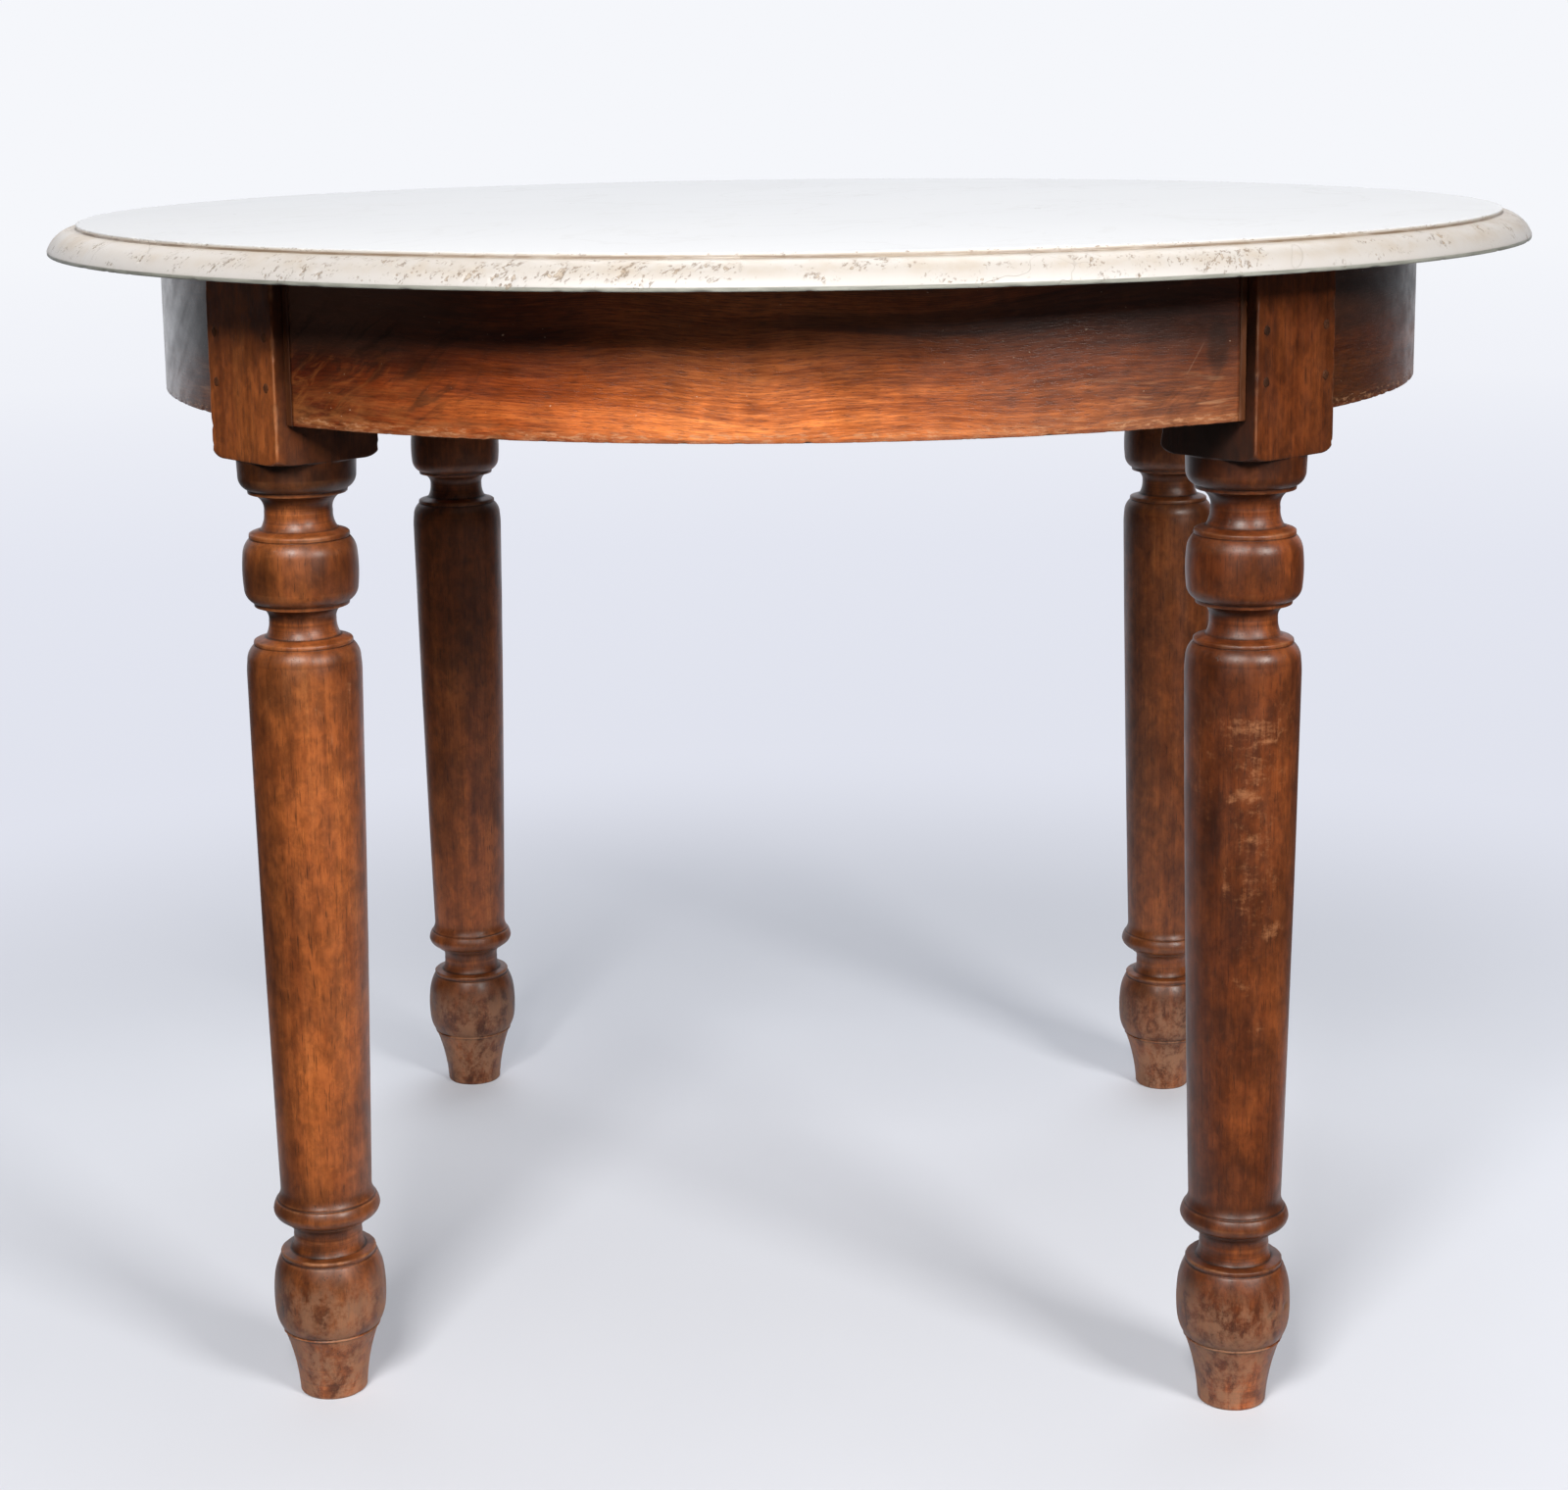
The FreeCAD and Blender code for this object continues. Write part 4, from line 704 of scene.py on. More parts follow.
def apron(name, node, turn, seed, mat):
    low, high, ro, ri, back = 649.0, 740.0, 490.0, 488.05, 50.0
    cols = 306
    u = np.linspace(0, 1, cols)
    # outline of a cross-section: up the face, over the top, down the back
    face = np.r_[0.45, 0.8, 1.3, 2.0, 3.0, np.linspace(4.4, 89.4, 56), 90.3, 90.75]
    sec = [(0.0, 0.50), (0.12, 0.14)] + [(h, 0.0) for h in face] + [(90.93, 0.12), (91.0, 0.4), (91.0, 1.2), (91.0, 1.93)]
    sec += [(h, 1.95) for h in (70.0, 45.0, 20.0, 1.0)] + [(0.0, 1.93), (0.0, 1.2)]
    sec = np.array(sec)
    h, d = np.repeat(sec[:, 0][:, None], cols, 1), np.repeat(sec[:, 1][:, None], cols, 1)
    along = np.repeat((u * 612.0)[None, :], len(sec), 0)
    front = (d < 0.6)
    bow = 0.16 * fbm(along / 90, h / 60, 0, seed, 2)
    # knocks and small losses on the lower edge
    loss = np.clip(fbm(along / 6.5, 0 * h, 0.3, seed + 4, 3) - 0.20, 0, None)
    big = np.clip(vnoise(along / 19, 0 * h, 0.7, seed + 6) - 0.55, 0, None)
    bite = 2.4 * loss + 1.6 * big
    near = smooth(h, 3.2, 0.0)
    lift = near * bite * (h < 4) * 0.55
    d2 = np.where(front, d + 0.12 + np.clip(bow, -0.1, 0.1) + near * bite * 0.5, d)
    h2 = np.where(front | (h < 0.05), h + lift * np.where(front, 1.0, 0.35), h)
    wear = smooth(near * bite, 0.10, 0.55) * front
    R = ro - np.clip(d2, 0.0, 1.93)
    R = np.where(d > 1.9, ri, R)
    half = math.pi / 4 - np.arcsin((43.1 + back * math.sqrt(0.5)) / R)
    mid = math.radians(turn)
    ang = mid + (2 * u[None, :] - 1) * half
    verts = np.stack([R * np.cos(ang) - back * math.cos(mid), R * np.sin(ang) - back * math.sin(mid), low + h2], -1)
    ns = len(sec)
    # columns run anticlockwise, rows run up the face: seen from outside
    faces, uv = [], []
    path = np.r_[0, np.cumsum(np.hypot(*np.diff(sec, axis=0).T)), 0]
    full = path[ns - 1] + math.dist(sec[-1], sec[0])
    path[ns] = full
    for j in range(ns):
        k2 = (j + 1) % ns
        v0, v1 = 0.01 + 0.98 * path[j] / full, 0.01 + 0.98 * path[j + 1] / full
        for i in range(cols - 1):
            faces.append((j * cols + i, j * cols + i + 1, k2 * cols + i + 1, k2 * cols + i))
            a0, a1 = 0.02 + 0.96 * u[i], 0.02 + 0.96 * u[i + 1]
            uv += [(a0, v0), (a1, v0), (a1, v1), (a0, v1)]
    faces.append(tuple(j * cols for j in range(ns)))
    uv += [(0.001 + 0.016 * sec[j, 1] / 1.95, 0.01 + 0.98 * sec[j, 0] / 91.0) for j in range(ns)]
    faces.append(tuple(j * cols + cols - 1 for j in range(ns - 1, -1, -1)))
    uv += [(0.983 + 0.016 * sec[j, 1] / 1.95, 0.01 + 0.98 * sec[j, 0] / 91.0) for j in range(ns - 1, -1, -1)]
    ac = np.stack([along * MM, h * MM, d * MM], -1)
    ob = make_object(name, verts.reshape(-1, 3), faces, {"ac": ac.reshape(-1, 3), "wear": np.clip(wear, 0, 1).ravel()}, uv)
    return place(ob, node, "frame", mat)


apron("curved_face_front", "apron_veneer_front", -90.0, 2, apron_material("veneer_front", 1.3))
apron("curved_face_right", "apron_veneer_right", 0.0, 5, apron_material("veneer_right", 6.1, 0.22, 0.8, 0.4, 0.10))
apron("curved_face_back", "apron_veneer_back", 90.0, 7, apron_material("veneer_back", 9.4, 0.62, 0.9, 0.6))
apron("curved_face_left", "apron_veneer_left", 180.0, 12, apron_material("veneer_left", 14.8, 0.26, 0.8, 0.4, 0.55))


# ---------------------------------------------------------------------------
# Upright strips beside the blocks, and the peg ends
# ---------------------------------------------------------------------------
def strip_material():
    k = Looks("wood_end_strips")
    p = k.vec("lc")
    wear = k.val("wear")
    figure = k.noise(k.map(p, (120, 120, 9)), 1, 4, 0.6, 0.3)
    pores = k.rng(k.noise(k.map(p, (1100, 1100, 45)), 1, 2, 0.6), 0.57, 0.70)
    colour = k.ramp(figure, [(0.3, (0.050, 0.015, 0.0055)), (0.5, (0.100, 0.032, 0.0105)), (0.7, (0.185, 0.064, 0.021))])
    colour = k.mix(k.mul(pores, 0.5), colour, (0.03, 0.01, 0.004))
    rub = k.sat(k.mul(wear, k.rng(figure, 0.3, 0.6, 0.4, 1.0)))
    colour = k.mix(k.mul(rub, 0.26), colour, (0.27, 0.098, 0.036))
    n = k.bump(k.sub(figure, pores), 0.0001, 0.5)
    return k.finish(colour, k.add(k.rng(figure, 0.3, 0.7, 0.32, 0.42), k.mul(rub, 0.12)), n)


def strips():
    verts, faces, lc, wear = [], [], [], []
    for rail, turn in enumerate((-90.0, 0.0, 90.0, 180.0)):
        for side in (1, -1):
            off = BLOCK + 0.35 + 2.4
            ang = math.radians(turn + side * (45.0 - math.degrees(math.asin((off + 50.0 * math.sqrt(0.5)) / 488.05))))
            seed = 40 + rail * 2 + (side > 0)
            # section, anticlockwise from above: back, then round the two front arrises
            sec = [(0.0, -2.4), (1.6, -2.4), (2.06, -2.32), (2.24, -2.12), (2.3, -1.7), (2.3, -0.6), (2.3, 0.6), (2.3, 1.7),
                   (2.24, 2.12), (2.06, 2.32), (1.6, 2.4), (0.0, 2.4)]
            rise = np.r_[0.0, 0.15, 0.5, np.linspace(2.0, 89.0, 44), 90.5, 90.85, 91.0]
            base = len(verts)
            ns = len(sec)
            for h in rise:
                tuck = 0.35 if h in (0.0, 91.0) else 0.12 if h in (0.15, 90.85) else 0.0
                for i, (a, b) in enumerate(sec):
                    knock = max(0.0, float(vnoise(h / 6.0, i * 0.4, seed, 7)) - 0.25) * 0.9 if 1 < i < 10 else 0.0
                    rr = 488.07 + a - (tuck + knock * 0.5 if a > 0.1 else 0.0)
                    tt = b * (1 - (tuck + knock * 0.15) / 2.4)
                    x, y = rr * math.cos(ang) - tt * math.sin(ang), rr * math.sin(ang) + tt * math.cos(ang)
                    verts.append((x - 50.0 * math.cos(math.radians(turn)), y - 50.0 * math.sin(math.radians(turn)), 649.0 + h))
                    lc.append(((a + seed * 13) * MM, b * MM, (h + 50 * seed) * MM))
                    wear.append(min(1.0, (0.75 if i in (2, 3, 8, 9) else 0.15) * (0.8 + 0.9 * float(vnoise(h / 9.0, i, seed, 3))) + knock))
            nr = len(rise)
            faces += grid_faces(nr, ns, True, base)
            faces.append(tuple(base + i for i in range(ns - 1, -1, -1)))
            faces.append(tuple(base + (nr - 1) * ns + i for i in range(ns)))
    ob = make_object("upright_end_strips", verts, faces, {"lc": lc, "wear": np.clip(wear, 0, 1)})
    return place(ob, "apron_end_strips", "frame", strip_material())


def peg_material():
    k = Looks("wood_pegs")
    p = k.vec("lc")
    ring = k.noise(k.map(p, (900, 900, 60)), 1, 3, 0.65)
    wide = k.noise(k.map(p, (160, 160, 40)), 1, 2, 0.5)
    colour = k.ramp(k.add(k.mul(ring, 0.6), k.mul(wide, 0.4)), [(0.32, (0.040, 0.013, 0.005)), (0.52, (0.100, 0.032, 0.011)), (0.72, (0.175, 0.060, 0.020))])
    colour = k.shade(colour, k.val("tone"))
    n = k.bump(ring, 0.00012, 0.6)
    return k.finish(colour, k.rng(ring, 0.3, 0.7, 0.58, 0.75), n, Specular_IOR_Level=0.22)


def pegs():
    verts, faces, lc, tone = [], [], [], []
    num = 0
    for turn in (-135.0, -45.0, 45.0, 135.0):
        a = math.radians(turn)
        for side in (1, -1):
            for up in (672.0, 703.0):
                num += 1
                rng = np.random.default_rng(500 + num)
                n = 24
                # cleft and whittled: not quite round, a little longer upright
                th = np.arange(n) * 2 * math.pi / n
                wob = 1 + 0.05 * np.cos(4 * th + rng.uniform(0, 6)) + 0.03 * np.cos(3 * th + rng.uniform(0, 6))
                # stations from the hidden end to the crowned head
                st = [(15.6, 0.55), (19.0, 0.80), (28.0, 0.95), (37.4, 0.98), (37.62, 0.95), (37.80, 0.86), (37.92, 0.66), (37.97, 0.35)]
                base = len(verts)
                for reach, size in st:
                    for i in range(n):
                        y = side * (BLOCK - 9.0) + 3.05 * size * wob[i] * math.cos(th[i])
                        z = up + 3.2 * size * wob[i] * math.sin(th[i])
                        x = 419.5 + reach
                        verts.append((x * math.cos(a) - y * math.sin(a), x * math.sin(a) + y * math.cos(a), z))
                        lc.append((3.0 * size * math.cos(th[i]) * MM + num * 0.11, 3.0 * size * math.sin(th[i]) * MM, reach * MM))
                        tone.append(0.34 if turn == -45.0 and side < 0 else 0.70 if turn == -45.0 else 0.95)
                ns = len(st)
                faces += grid_faces(ns, n, True, base)
                faces.append(tuple(base + i for i in range(n - 1, -1, -1)))
                faces.append(tuple(base + (ns - 1) * n + i for i in range(n)))
    ob = make_object("peg_ends", verts, faces, {"lc": lc, "tone": tone})
    return place(ob, "drawbore_pegs", "frame", peg_material())


strips()
pegs()


# ---------------------------------------------------------------------------
# Stone top
# ---------------------------------------------------------------------------
def stone_material():
    k = Looks("cream_stone")
    p = k.vec("mc")                                   # metres
    e = k.vec("ec")                                   # metres round the rim, and down its outline
    pit, side, under = k.val("pit"), k.val("side"), k.val("under")
    s, t, _ = k.xyz(e)[:3]
    # bedding: leans to the right as it rises
    bed = k.map(p, (1, 1, 1), (0, 0, 0), (0.22, -0.62, 0.30))
    layer = k.noise(k.map(bed, (24, 5, 5)), 1, 4, 0.6, 0.5)
    cloud = k.noise(k.map(bed, (9, 5, 6), (4.2, 1.1, 0.3)), 1, 4, 0.6, 0.7)
    mottle = k.noise(k.map(p, (60, 60, 60)), 1, 3, 0.6, 0.4)

    calm = k.noise(k.map(bed, (9, 3, 3), (1.2, 0.4, 2.2)), 1, 1, 0.5)
    top = k.ramp(calm, [(0.25, (0.568, 0.569, 0.574)), (0.50, (0.577, 0.579, 0.585)), (0.75, (0.581, 0.582, 0.586))])
    # painted light: the top brighter towards the back
    top = k.shade(top, k.rng(k.xyz(p)[1], -0.35, 0.45, 1.0, 1.11))
    top = k.mix(k.mul(k.rng(cloud, 0.54, 0.74), 0.13), top, (0.497, 0.482, 0.462))
    vein = k.math("ABSOLUTE", k.sub(k.noise(k.map(bed, (7, 3.2, 3.2), (2.0, 5.0, 1.0)), 1, 5, 0.6, 0.9), 0.5))
    top = k.mix(k.mul(k.rng(vein, 0.014, 0.0), 0.15), top, (0.389, 0.370, 0.342))
    mark = k.rng(k.noise(k.map(p, (90, 26, 40), (6.0, 1.0, 2.0)), 1, 2, 0.5), 0.755, 0.79)
    top = k.mix(k.mul(mark, 0.45), top, (0.309, 0.289, 0.269))

    rim = k.ramp(k.add(k.mul(cloud, 0.6), k.mul(mottle, 0.4)), [
        (0.30, (0.446, 0.426, 0.411)), (0.47, (0.439, 0.411, 0.384)), (0.58, (0.413, 0.367, 0.319)), (0.74, (0.356, 0.294, 0.233))])
    rim = k.mix(k.mul(k.rng(t, 0.015, 0.0045), 0.50), rim, k.mix(k.rng(mottle, 0.3, 0.7), (0.407, 0.354, 0.299), (0.356, 0.294, 0.230)))
    # painted highlight: paler band along the lower part of the moulding
    rim = k.mix(k.mul(k.rng(t, 0.018, 0.0270), 0.75), rim, (0.484, 0.470, 0.463))
    # painted light: paler round to the left
    rim = k.shade(rim, k.rng(k.xyz(p)[0], -0.48, -0.20, 1.42, 1.0))
    # brown line of dirt in the little step under the top face
    quirk = k.rng(k.math("ABSOLUTE", k.sub(t, 0.0029)), 0.0012, 0.0004)
    quirk = k.mul(quirk, k.rng(k.noise(k.map(e, (17, 160, 0)), 1, 4, 0.65), 0.36, 0.60, 0.30, 1.0))
    rim = k.mix(k.mul(quirk, 0.88), rim, (0.150, 0.100, 0.060))
    # greyish strip at the foot of the moulding
    foot = k.rng(t, 0.0288, 0.0292)
    rim = k.mix(k.mul(foot, 0.95), rim, k.mix(k.rng(k.noise(k.map(e, (40, 500, 0)), 1, 3, 0.6), 0.35, 0.65), (0.215, 0.222, 0.195), (0.320, 0.328, 0.292)))
    colour = k.mix(side, top, rim)

    # hair-fine lines and pits that run with the bedding, gathered in places
    lean = k.map(e, (1, 1, 0), (0, 0, 0), (0, 0, 0.85))
    near = k.val("near")
    shard = k.noise(k.map(lean, (165, 430, 0), (5.0, 5.0, 0)), 1, 2, 0.6, 0.4)
    squig = k.math("ABSOLUTE", k.sub(k.noise(k.map(lean, (110, 300, 0), (2.0, 1.0, 0)), 1, 3, 0.6, 0.8), 0.5))
    squig = k.mul(k.rng(squig, 0.075, 0.025), k.rng(k.noise(k.map(lean, (170, 260, 0)), 1, 2, 0.5), 0.52, 0.60))
    squig = k.mul(squig, k.mul(k.sat(k.mul(near, 1.5)), side))
    prick = k.mul(k.rng(k.noise(k.map(lean, (330, 460, 0)), 1, 2, 0.5), 0.66, 0.71), k.mul(side, k.sat(k.add(k.mul(near, 0.85), 0.20))))
    holes = k.sat(k.most(k.mul(squig, 0.9), prick))
    colour = k.mix(k.mul(holes, 0.74), colour, (0.162, 0.114, 0.076))
    # flakes off the arris
    flake = k.mul(k.rng(k.math("ABSOLUTE", k.sub(t, 0.0008)), 0.0012, 0.0004), k.rng(k.noise(k.map(e, (190, 330, 0), (7.0, 1.0, 0)), 1, 3, 0.6), 0.60, 0.68))
    colour = k.mix(k.mul(flake, 0.75), colour, (0.190, 0.130, 0.080))
    # hair cracks
    crack = k.math("ABSOLUTE", k.sub(k.noise(k.map(bed, (13, 9, 9), (8.0, 3.0, 2.0)), 1, 3, 0.5, 0.8), 0.5))
    crack = k.mul(k.rng(crack, 0.0055, 0.0012), k.rng(k.noise(k.map(p, (4, 4, 4), (1, 7, 3)), 1, 1, 0.5), 0.50, 0.62))
    colour = k.mix(k.mul(crack, k.add(k.mul(side, 0.40), 0.12)), colour, (0.227, 0.193, 0.162))
    # larger losses: tan inside, brown at their edges
    ragged = k.add(k.mul(pit, 0.85), k.mul(k.sub(shard, 0.5), 2.9))
    ragged = k.mul(ragged, k.sat(k.mul(near, 4.0)))
    ring = k.mul(k.rng(ragged, 0.46, 0.62), k.rng(ragged, 1.02, 0.74))
    colour = k.mix(k.mul(k.rng(ragged, 0.60, 0.80), 0.54), colour, k.mix(k.rng(mottle, 0.3, 0.7), (0.400, 0.325, 0.240), (0.320, 0.248, 0.172)))
    colour = k.mix(k.mul(ring, 0.52), colour, (0.140, 0.098, 0.064))
    # sawn underside
    saw = k.wave(k.map(p, (1, 0.12, 1)), 160, 3, 2, 2.0)
    colour = k.mix(under, colour, k.mix(k.rng(saw, 0.2, 0.8), (0.46, 0.44, 0.40), (0.56, 0.54, 0.49)))

    gloss = k.noise(k.map(p, (14, 14, 14), (3, 3, 3)), 1, 3, 0.6)
    rough = k.add(0.36, k.mul(side, k.rng(gloss, 0.3, 0.7, 0.0, 0.12)))
    rough = k.sat(k.add(rough, k.add(k.mul(k.most(holes, pit), 0.35), k.mul(under, 0.45))))
    n = k.bump(k.mul(k.add(k.mul(holes, -1.0), k.mul(crack, -0.5)), side), 0.0006, 0.55)
    n = k.bump(k.add(k.mul(mottle, side), k.mul(saw, k.mul(under, 0.6))), 0.0004, 0.22, n)
    return k.finish(colour, rough, n, Specular_IOR_Level=0.5)


def stone():
    seg, coarse = 2160, 240
    p0, p1 = (498.2, 758.8), (516.5, 744.7)
    half = math.dist(p0, p1) / 2
    sag = 21.6 - math.sqrt(21.6 ** 2 - half ** 2)
    nn = ((p0[1] - p1[1]) / (2 * half), (p1[0] - p0[0]) / (2 * half))
    mid = ((p0[0] + p1[0]) / 2 + nn[0] * sag, (p0[1] + p1[1]) / 2 + nn[1] * sag)
    pts = [(494.0, 762.0), (495.4, 762.0), (496.15, 761.98), (496.6, 761.75), (496.82, 761.3), (496.9, 760.6), (496.9, 759.75),
           (496.98, 759.2), (497.35, 758.93)]
    pts.append(p0)
    pts += arc_run(p0, mid, p1, 0.98)
    pts += [(516.5, 744.0), (516.5, 743.2), (516.42, 742.5), (516.1, 742.12), (515.5, 742.0), (512.0, 742.0)]
    prof = np.array(pts)
    t = np.r_[0, np.cumsum(np.hypot(*np.diff(prof, axis=0).T))]
    t0 = t - t[2]                                                  # 0 at the top arris
    d = np.gradient(prof, t, axis=0)
    d /= np.hypot(*d.T)[:, None]
    nr_, nz_ = -d[:, 1], d[:, 0]                                   # outward
    rows = len(prof)
    ang = -math.pi + np.arange(seg) * 2 * math.pi / seg + math.pi / 2
    s = ang * 516.5
    S = np.repeat(s[None, :], rows, 0)
    T = np.repeat(t0[:, None], seg, 1)
    ca, sa = np.cos(ang)[None, :], np.sin(ang)[None, :]
    # coordinates that close round the rim
    bx, by = 516.5 * ca, 516.5 * sa
    dent = np.zeros((rows, seg))
    pit = np.zeros((rows, seg))
    edge = smooth(t0, 0.4, 1.5)[:, None] * smooth(t0, t0[-1] - 3.2, t0[-1] - 4.6)[:, None]
    dent += 0.10 * (0.5 + 0.5 * fbm(bx / 40, by / 40, T / 14, 3, 2)) * edge
    rng = np.random.default_rng(71)

    def hole(deg, depth_at, rad, deep, squeeze=1.0, lean=0.0):
        at = (math.radians(deg) - ang[0]) % (2 * math.pi) / (2 * math.pi) * seg
        span = int(rad * 2.2 / 1.45) + 3
        cols = (np.arange(int(at) - span, int(at) + span + 1)) % seg
        x = ((cols - at + seg / 2) % seg - seg / 2) * (2 * math.pi * 516.5 / seg)
        x = x[None, :]
        y = -(t0[:, None] - depth_at)
        cl, sl = math.cos(lean), math.sin(lean)
        along, across = x * cl + y * sl, -x * sl + y * cl
        rag = 1 + 0.45 * vnoise((x + deg * 7) / 1.7, y / 1.5, deg, 17)
        dist = np.hypot(along / squeeze, across) / (rad * rag)
        w = smooth(dist, 1.15, 0.55)
        dent[:, cols] = np.maximum(dent[:, cols], deep * w)
        pit[:, cols] = np.maximum(pit[:, cols], smooth(dist, 1.25, 0.35))

    def cluster(deg, depth_at, size, count, lean=1.0, rad=(0.7, 1.9)):
        for _ in range(count):
            a = rng.normal(0, size * 0.42)
            b = rng.normal(0, size * 0.13)
            x, y = a * math.cos(lean) - b * math.sin(lean), a * math.sin(lean) + b * math.cos(lean)
            dd = depth_at - y
            if 5.6 < dd < 29.0:
                hole(deg + math.degrees(x / 516.5), dd, rng.uniform(*rad), rng.uniform(0.25, 0.75), rng.uniform(1.2, 2.3), lean + rng.normal(0, 0.25))

    # places read off the front, left to right, then the rest of the rim
    for spec in [(-118.45, 23.0, 5, 4), (-108.65, 24.5, 4, 3), (-107.1, 20.5, 10, 11), (-105.25, 18.5, 8, 9), (-104.3, 24.0, 6, 5),
                 (-101.2, 19.0, 12, 15), (-97.2, 18.0, 6, 4), (-93.95, 18.0, 6, 7), (-92.2, 13.5, 4, 4), (-90.8, 16.0, 3, 2),
                 (-83.0, 15.0, 4, 3), (-81.2, 13.5, 3, 3), (-68.0, 16.5, 4, 4), (-146.0, 14.0, 5, 4), (-137.0, 20.0, 4, 3),
                 (-128.0, 22.0, 4, 2), (-36.0, 17.0, 7, 5), (-28.0, 13.0, 9, 7), (-22.0, 17.0, 9, 8)]:
        cluster(*spec)
    for _ in range(60):                                            # fine specks right of centre
        hole(-57.9 + rng.normal(0, 1.3), min(28.5, max(7.0, 20.0 + rng.normal(0, 4.2))), rng.uniform(0.45, 0.9), rng.uniform(0.15, 0.4), 1.6, 1.0)
    for _ in range(44):                                            # thin scattered marks along the front
        cluster(rng.uniform(-130, -91) if rng.uniform() < 0.72 else rng.uniform(-90, -42), rng.uniform(8, 27), rng.uniform(2.5, 6.0), int(rng.integers(2, 5)), 1.0, (0.35, 0.75))
    for _ in range(46):
        cluster(rng.uniform(-15, 205), rng.uniform(9, 26), rng.uniform(3, 11), int(rng.integers(2, 10)))
    for _ in range(260):
        hole(rng.uniform(-180, 180), rng.uniform(5.8, 28.0), rng.uniform(0.4, 0.85), rng.uniform(0.12, 0.35), rng.uniform(1.0, 2.2), rng.uniform(0.4, 1.4))

    # flakes off the top arris and off the foot strip
    chip = np.zeros(seg)
    flake = np.zeros(seg)
    for _ in range(150):
        at, wide, deep = rng.uniform(0, seg), rng.uniform(0.7, 2.6), rng.uniform(0.25, 0.95)
        x = (np.arange(seg) - at + seg / 2) % seg - seg / 2
        chip = np.maximum(chip, deep * smooth(np.abs(x) / wide, 1.2, 0.2))
    for _ in range(60):
        at, wide, deep = rng.uniform(0, seg), rng.uniform(1.0, 5.0), rng.uniform(0.2, 0.8)
        x = (np.arange(seg) - at + seg / 2) % seg - seg / 2
        flake = np.maximum(flake, deep * smooth(np.abs(x) / wide, 1.2, 0.2))
    near_top = np.exp(-(t0 / 0.85) ** 2)[:, None]
    near_foot = np.exp(-((t0 - (t0[-1] - 4.0)) / 1.0) ** 2)[:, None]
    r = prof[:, 0][:, None] - nr_[:, None] * dent - chip[None, :] * near_top * 0.9 - flake[None, :] * near_foot
    z = prof[:, 1][:, None] - nz_[:, None] * dent - chip[None, :] * near_top * 0.75 + flake[None, :] * near_foot * 0.3
    pit = np.maximum(pit, smooth(chip[None, :] * near_top, 0.18, 0.5) * 0.75)
    pit[0], pit[-1] = 0, 0
    r[0], z[0] = prof[0]
    r[-1], z[-1] = prof[-1]
    verts = [np.stack([r * ca, r * sa, z], -1).reshape(-1, 3)]
    side = np.repeat(smooth(t0, 0.3, 1.6)[:, None], seg, 1)
    under = np.repeat(smooth(t0, t0[-1] - 3.9, t0[-1] - 3.4)[:, None], seg, 1)
    ec = np.stack([S * MM, T * MM, 0 * T], -1).reshape(-1, 3)
    # how close each point is to a gathering of pits
    near = pit.copy()
    for _ in range(3):
        near = np.maximum(near, 0.86 * np.maximum(np.maximum(np.roll(near, 2, 1), np.roll(near, -2, 1)), np.maximum(np.roll(near, 1, 0), np.roll(near, -1, 0))))
    A = {"near": [near.ravel()], "pit": [pit.ravel()], "side": [side.ravel()], "under": [under.ravel()], "ec": [ec]}
    faces, uv = [], []
    nxt = lambda i: (i + 1) % seg
    lanes = 4
    per = seg // lanes
    for j in range(rows - 1):                                      # rows run outward and down
        v0, v1 = t[j] / t[-1], t[j + 1] / t[-1]
        for i in range(seg):
            faces.append((j * seg + i, (j + 1) * seg + i, (j + 1) * seg + nxt(i), j * seg + nxt(i)))
            lane, k = divmod(i, per)
            base = 0.705 + 0.073 * lane
            u0, u1 = 0.01 + 0.98 * k / per, 0.01 + 0.98 * (k + 1) / per
            uv += [(u0, base + 0.066 * (1 - v0)), (u0, base + 0.066 * (1 - v1)), (u1, base + 0.066 * (1 - v1)), (u1, base + 0.066 * (1 - v0))]

    def disc(level, ring_r, rim_row, up, centre, size):
        step = seg // coarse
        base = sum(len(v) for v in verts)
        ca2, sa2 = np.cos(ang[::step]), np.sin(ang[::step])
        pos = [np.stack([q * ca2, q * sa2, 0 * ca2 + level], -1) for q in ring_r] + [np.array([[0.0, 0.0, level]])]
        pos = np.concatenate(pos)
        verts.append(pos)
        for key, v in (("near", 0.0), ("pit", 0.0), ("side", 0.0), ("under", 0.0 if up else 1.0)):
            A[key].append(np.full(len(pos), v))
        A["ec"].append(np.zeros((len(pos), 3)))
        spot = lambda v: (centre[0] + size * v[0] / 1040.0, centre[1] + size * v[1] / 1040.0)
        every = np.concatenate(verts)

        def face(ids):
            ids = ids if up else ids[::-1]
            faces.append(tuple(ids))
            uv.extend(spot(every[q]) for q in ids)

        for i in range(coarse):
            k = (i + 1) % coarse
            outer = [rim_row * seg + (i * step + m) % seg for m in range(step + 1)]
            face([base + i] + outer + [base + k])
            for m in range(len(ring_r) - 1):
                a, b = base + m * coarse, base + (m + 1) * coarse
                face([b + i, a + i, a + k, b + k])
            last = base + (len(ring_r) - 1) * coarse
            face([base + len(ring_r) * coarse, last + i, last + k])

    disc(762.0, [486.0, 460.0, 410.0, 340.0, 260.0, 170.0, 80.0], 0, True, (0.345, 0.345), 0.68)
    disc(742.0, [504.0, 470.0, 380.0, 260.0, 120.0], rows - 1, False, (0.845, 0.16), 0.29)
    every = np.concatenate(verts)
    point = {key: np.concatenate(v) for key, v in A.items()}
    point["mc"] = every * MM
    ob = make_object("moulded_stone_top", every, faces, point, uv)
    return place(ob, "marble_top", "top", stone_material())


stone()


